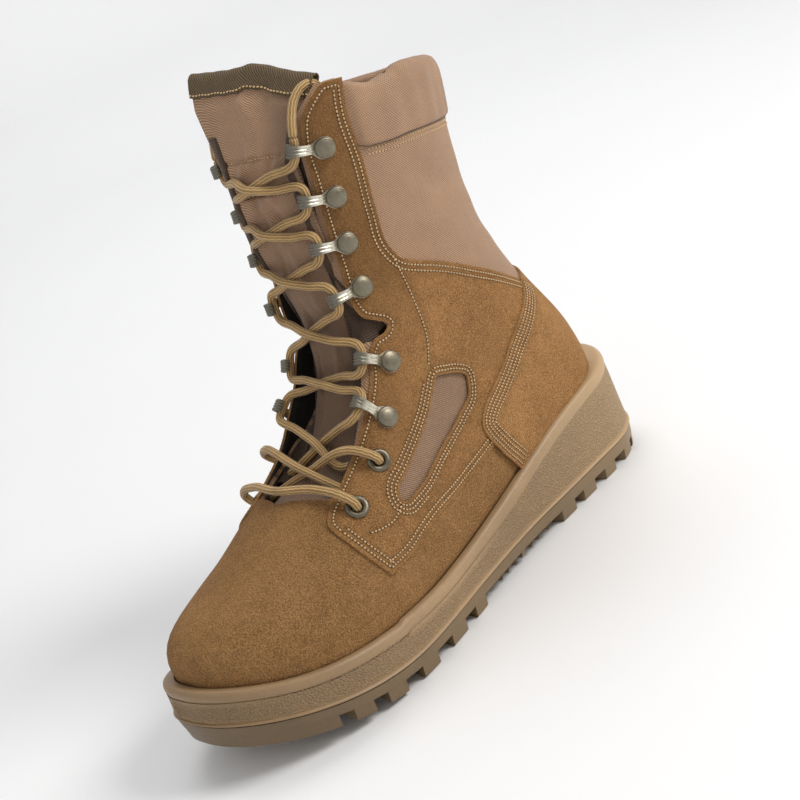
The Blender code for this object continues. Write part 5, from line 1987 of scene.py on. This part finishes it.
def make_eyelets():
    """Turned eyelets with a rolled flange."""
    bore, barrel, flange = EYELET
    rolled = [
        (3.95 - 1.3 * math.cos(a) * 1.04, 1.25 + 0.85 * math.sin(a))
        for a in np.linspace(0.1, np.pi - 0.15, 9)
    ]
    rolled = [(bore + 0.1, -3.0), (bore, 0.8), *rolled, (flange, 1.05), (flange - 0.3, 0.95)]
    rolled += [(barrel, 0.9), (barrel, -3.0)]
    ring = to_mesh(outward(spun(rolled, 44)), "ring", sharp=60)
    for i, (turn, angle) in enumerate(EYELET_PLACES, 1):
        for name, side in SIDES:
            piece = ring.copy()
            piece.transform(surface_frame(turn, side * angle))
            node = f"eyelet_{name}_{i}"
            place_piece(f"{node}_ring", piece, "eyelet_plate", node)


# ---- the lace ----


def lay_lace(name, points, node):
    """A piece of the lace along points."""
    return place_piece(name, tube(points, lace_radius()), "lace_braid", node)


def lace_radius():
    return bpy.context.scene.boot_sizes.lace / MM / 2


def make_lace_ends():
    """The two lace ends, from their top hooks over the eyestays into the collar."""
    for name, route in (("lateral", LACE_END), ("medial", mirrored(LACE_END))):
        points = smooth_route(route, 1.5)
        end = lay_lace(f"lace_{name}", points, f"lace_end_{name}")
        lengths_along(points)[-1] * MM


def rounded(points, times):
    """A chain with its bends softened, its two ends kept."""
    for _ in range(times):
        middle = (points[:-2] + 2 * points[1:-1] + points[2:]) / 4
        points = np.concatenate([points[:1], middle, points[-1:]])
    return points


def make_lacing():
    """The lace's crossings, its low cross and its bar."""
    radius = lace_radius()
    under, over = radius + 0.7, radius * 3 + 0.9
    levels = (("under", 1, under), ("over", -1, over))
    for name, sign, _ in levels:
        points = rounded(even(smooth_route(lattice(sign, under, over), 0.8), 0.9), 8)
        lay_lace(f"lacing_{name}", points, "lace_crossings")

    first = EYELETS["turn"][0]
    bar_ring, low_ring = (surface_frame(turn, angle) for turn, angle in EYELET_PLACES)
    low = [(-0.3, 0, -1.2), (0.2, 0, 2.2), (2.2, 0, 4.6), (6, 0, 4.6), (10, 0, 3.0)]
    low = [at(low_ring, *place) for place in low]
    for name, sign, lift in levels:
        start = low if sign > 0 else mirrored(low)
        route = [*start, over_tongue(LOW_CROSS_Z, lift), under_edge(first + 0.01, -sign)]
        lay_lace(f"low_lacing_{name}", even(smooth_route(route, 0.8), 0.9), "lace_low_crossing")

    half = ((-0.3, 0, -1.2), (0.2, 0, 2.2), (2.4, 0, 4.6), (6.5, 0, 4.7))
    half = [at(bar_ring, *place) for place in half]
    half.append(form(first - 0.012, 0.42) + form_normal(first, 0.42) * 3.2)
    centre = form(first - 0.024, 0.0) + form_normal(first, 0.0) * 2.6
    points = smooth_route([*half, centre, *reversed(mirrored(half))], 0.8)
    lay_lace("lacing_bar", even(points, 0.9), "lace_bar")


# ---- the add-on ----


class BootSizes(bpy.types.PropertyGroup):
    """Sizes that a user would change."""

    lace: FloatProperty(
        name="Lace",
        description="Diameter of the lace",
        default=0.004,
        min=0.003,
        max=0.005,
        unit="LENGTH",
    )


def colour_property(name, description, *default):
    return FloatVectorProperty(
        name=name,
        description=description,
        default=(*default, 1),
        size=4,
        min=0,
        max=1,
        subtype="COLOR",
    )


class BootColours(bpy.types.PropertyGroup):
    """Colours of the boot's materials."""

    suede: colour_property("Suede", "Brushed suede of the vamp and quarters", 0.337, 0.176, 0.066)
    nylon: colour_property("Nylon", "Twill of the shaft, collar and tongue", 0.38, 0.228, 0.134)
    tape: colour_property("Binding", "Ribbed binding tape", 0.126, 0.076, 0.025)
    lace: colour_property("Lace", "Braided lace", 0.52, 0.325, 0.125)
    thread: colour_property("Thread", "Stitching thread", 0.62, 0.42, 0.22)
    midsole: colour_property("Midsole", "Moulded midsole compound", 0.385, 0.255, 0.135)
    outsole: colour_property("Outsole", "Rubber of the tread", 0.20, 0.135, 0.07)
    stud: colour_property("Studs", "Dull plated studs and eyelets", 0.23, 0.205, 0.15)
    plate: colour_property("Hook plates", "Bright plated hook plates", 0.64, 0.60, 0.49)
    floor: colour_property("Floor", "Pale studio floor", 0.965, 0.968, 0.975)


def stage_property(name, description, default, **kind):
    return FloatProperty(name=name, description=description, default=default, **kind)


class BootStage(bpy.types.PropertyGroup):
    """The camera's place and the light."""

    around: stage_property("Around", "The camera's direction", 0.639536, subtype="ANGLE")
    height: stage_property("Elevation", "The camera's rise", 0.296225, subtype="ANGLE")
    roll: stage_property("Roll", "Lean of the camera", 0.425941, subtype="ANGLE")
    distance: stage_property("Distance", "From the boot's middle", 0.62, unit="LENGTH")
    sky: stage_property("Sky", "Strength of the even light", 0.42, min=0)
    light: stage_property("Lights", "Strength of the soft lights", 1.0, min=0)


GROUPS = {"boot_sizes": BootSizes, "boot_colours": BootColours, "boot_stage": BootStage}
STEPS = (
    make_camera,
    make_lace_ends,
    make_lacing,
    make_upper,
    make_quarters,
    make_heel,
    make_collar,
    make_tongue,
    make_gussets,
    make_midsole,
    make_outsole,
    dress_insole,
    make_hooks,
    make_eyelets,
    make_stage,
)


def step_operator(step):
    """An operator class for one step, named and described as its function is."""

    def execute(self, context):
        step()
        return {"FINISHED"}

    key = step.__name__
    texts = {"bl_label": key.replace("_", " ").capitalize(), "__doc__": step.__doc__.rstrip(".")}
    members = {"bl_idname": f"boot.{key}", "execute": execute} | texts
    return type(f"BOOT_OT_{key}", (bpy.types.Operator,), members)


OPERATORS = tuple(step_operator(step) for step in STEPS)


class BOOT_PT_panel(bpy.types.Panel):
    """Lists the boot's pieces and its settings"""

    bl_label = "Hiking Boot"
    bl_space_type = "VIEW_3D"
    bl_region_type = "UI"
    bl_category = "Boot"

    def draw(self, context):
        for group in GROUPS:
            column = self.layout.column()
            for name in GROUPS[group].__annotations__:
                column.prop(getattr(context.scene, group), name)
        for operator in OPERATORS:
            self.layout.operator(operator.bl_idname)


CLASSES = (*GROUPS.values(), *OPERATORS, BOOT_PT_panel)


def register():
    for cls in CLASSES:
        bpy.utils.register_class(cls)
    for name, group in GROUPS.items():
        setattr(bpy.types.Scene, name, PointerProperty(type=group))


def unregister():
    for name in GROUPS:
        delattr(bpy.types.Scene, name)
    for cls in reversed(CLASSES):
        bpy.utils.unregister_class(cls)


def main():
    register()
    for operator in OPERATORS:
        category, name = operator.bl_idname.split(".")
        getattr(getattr(bpy.ops, category), name)()


if __name__ == "__main__":
    main()
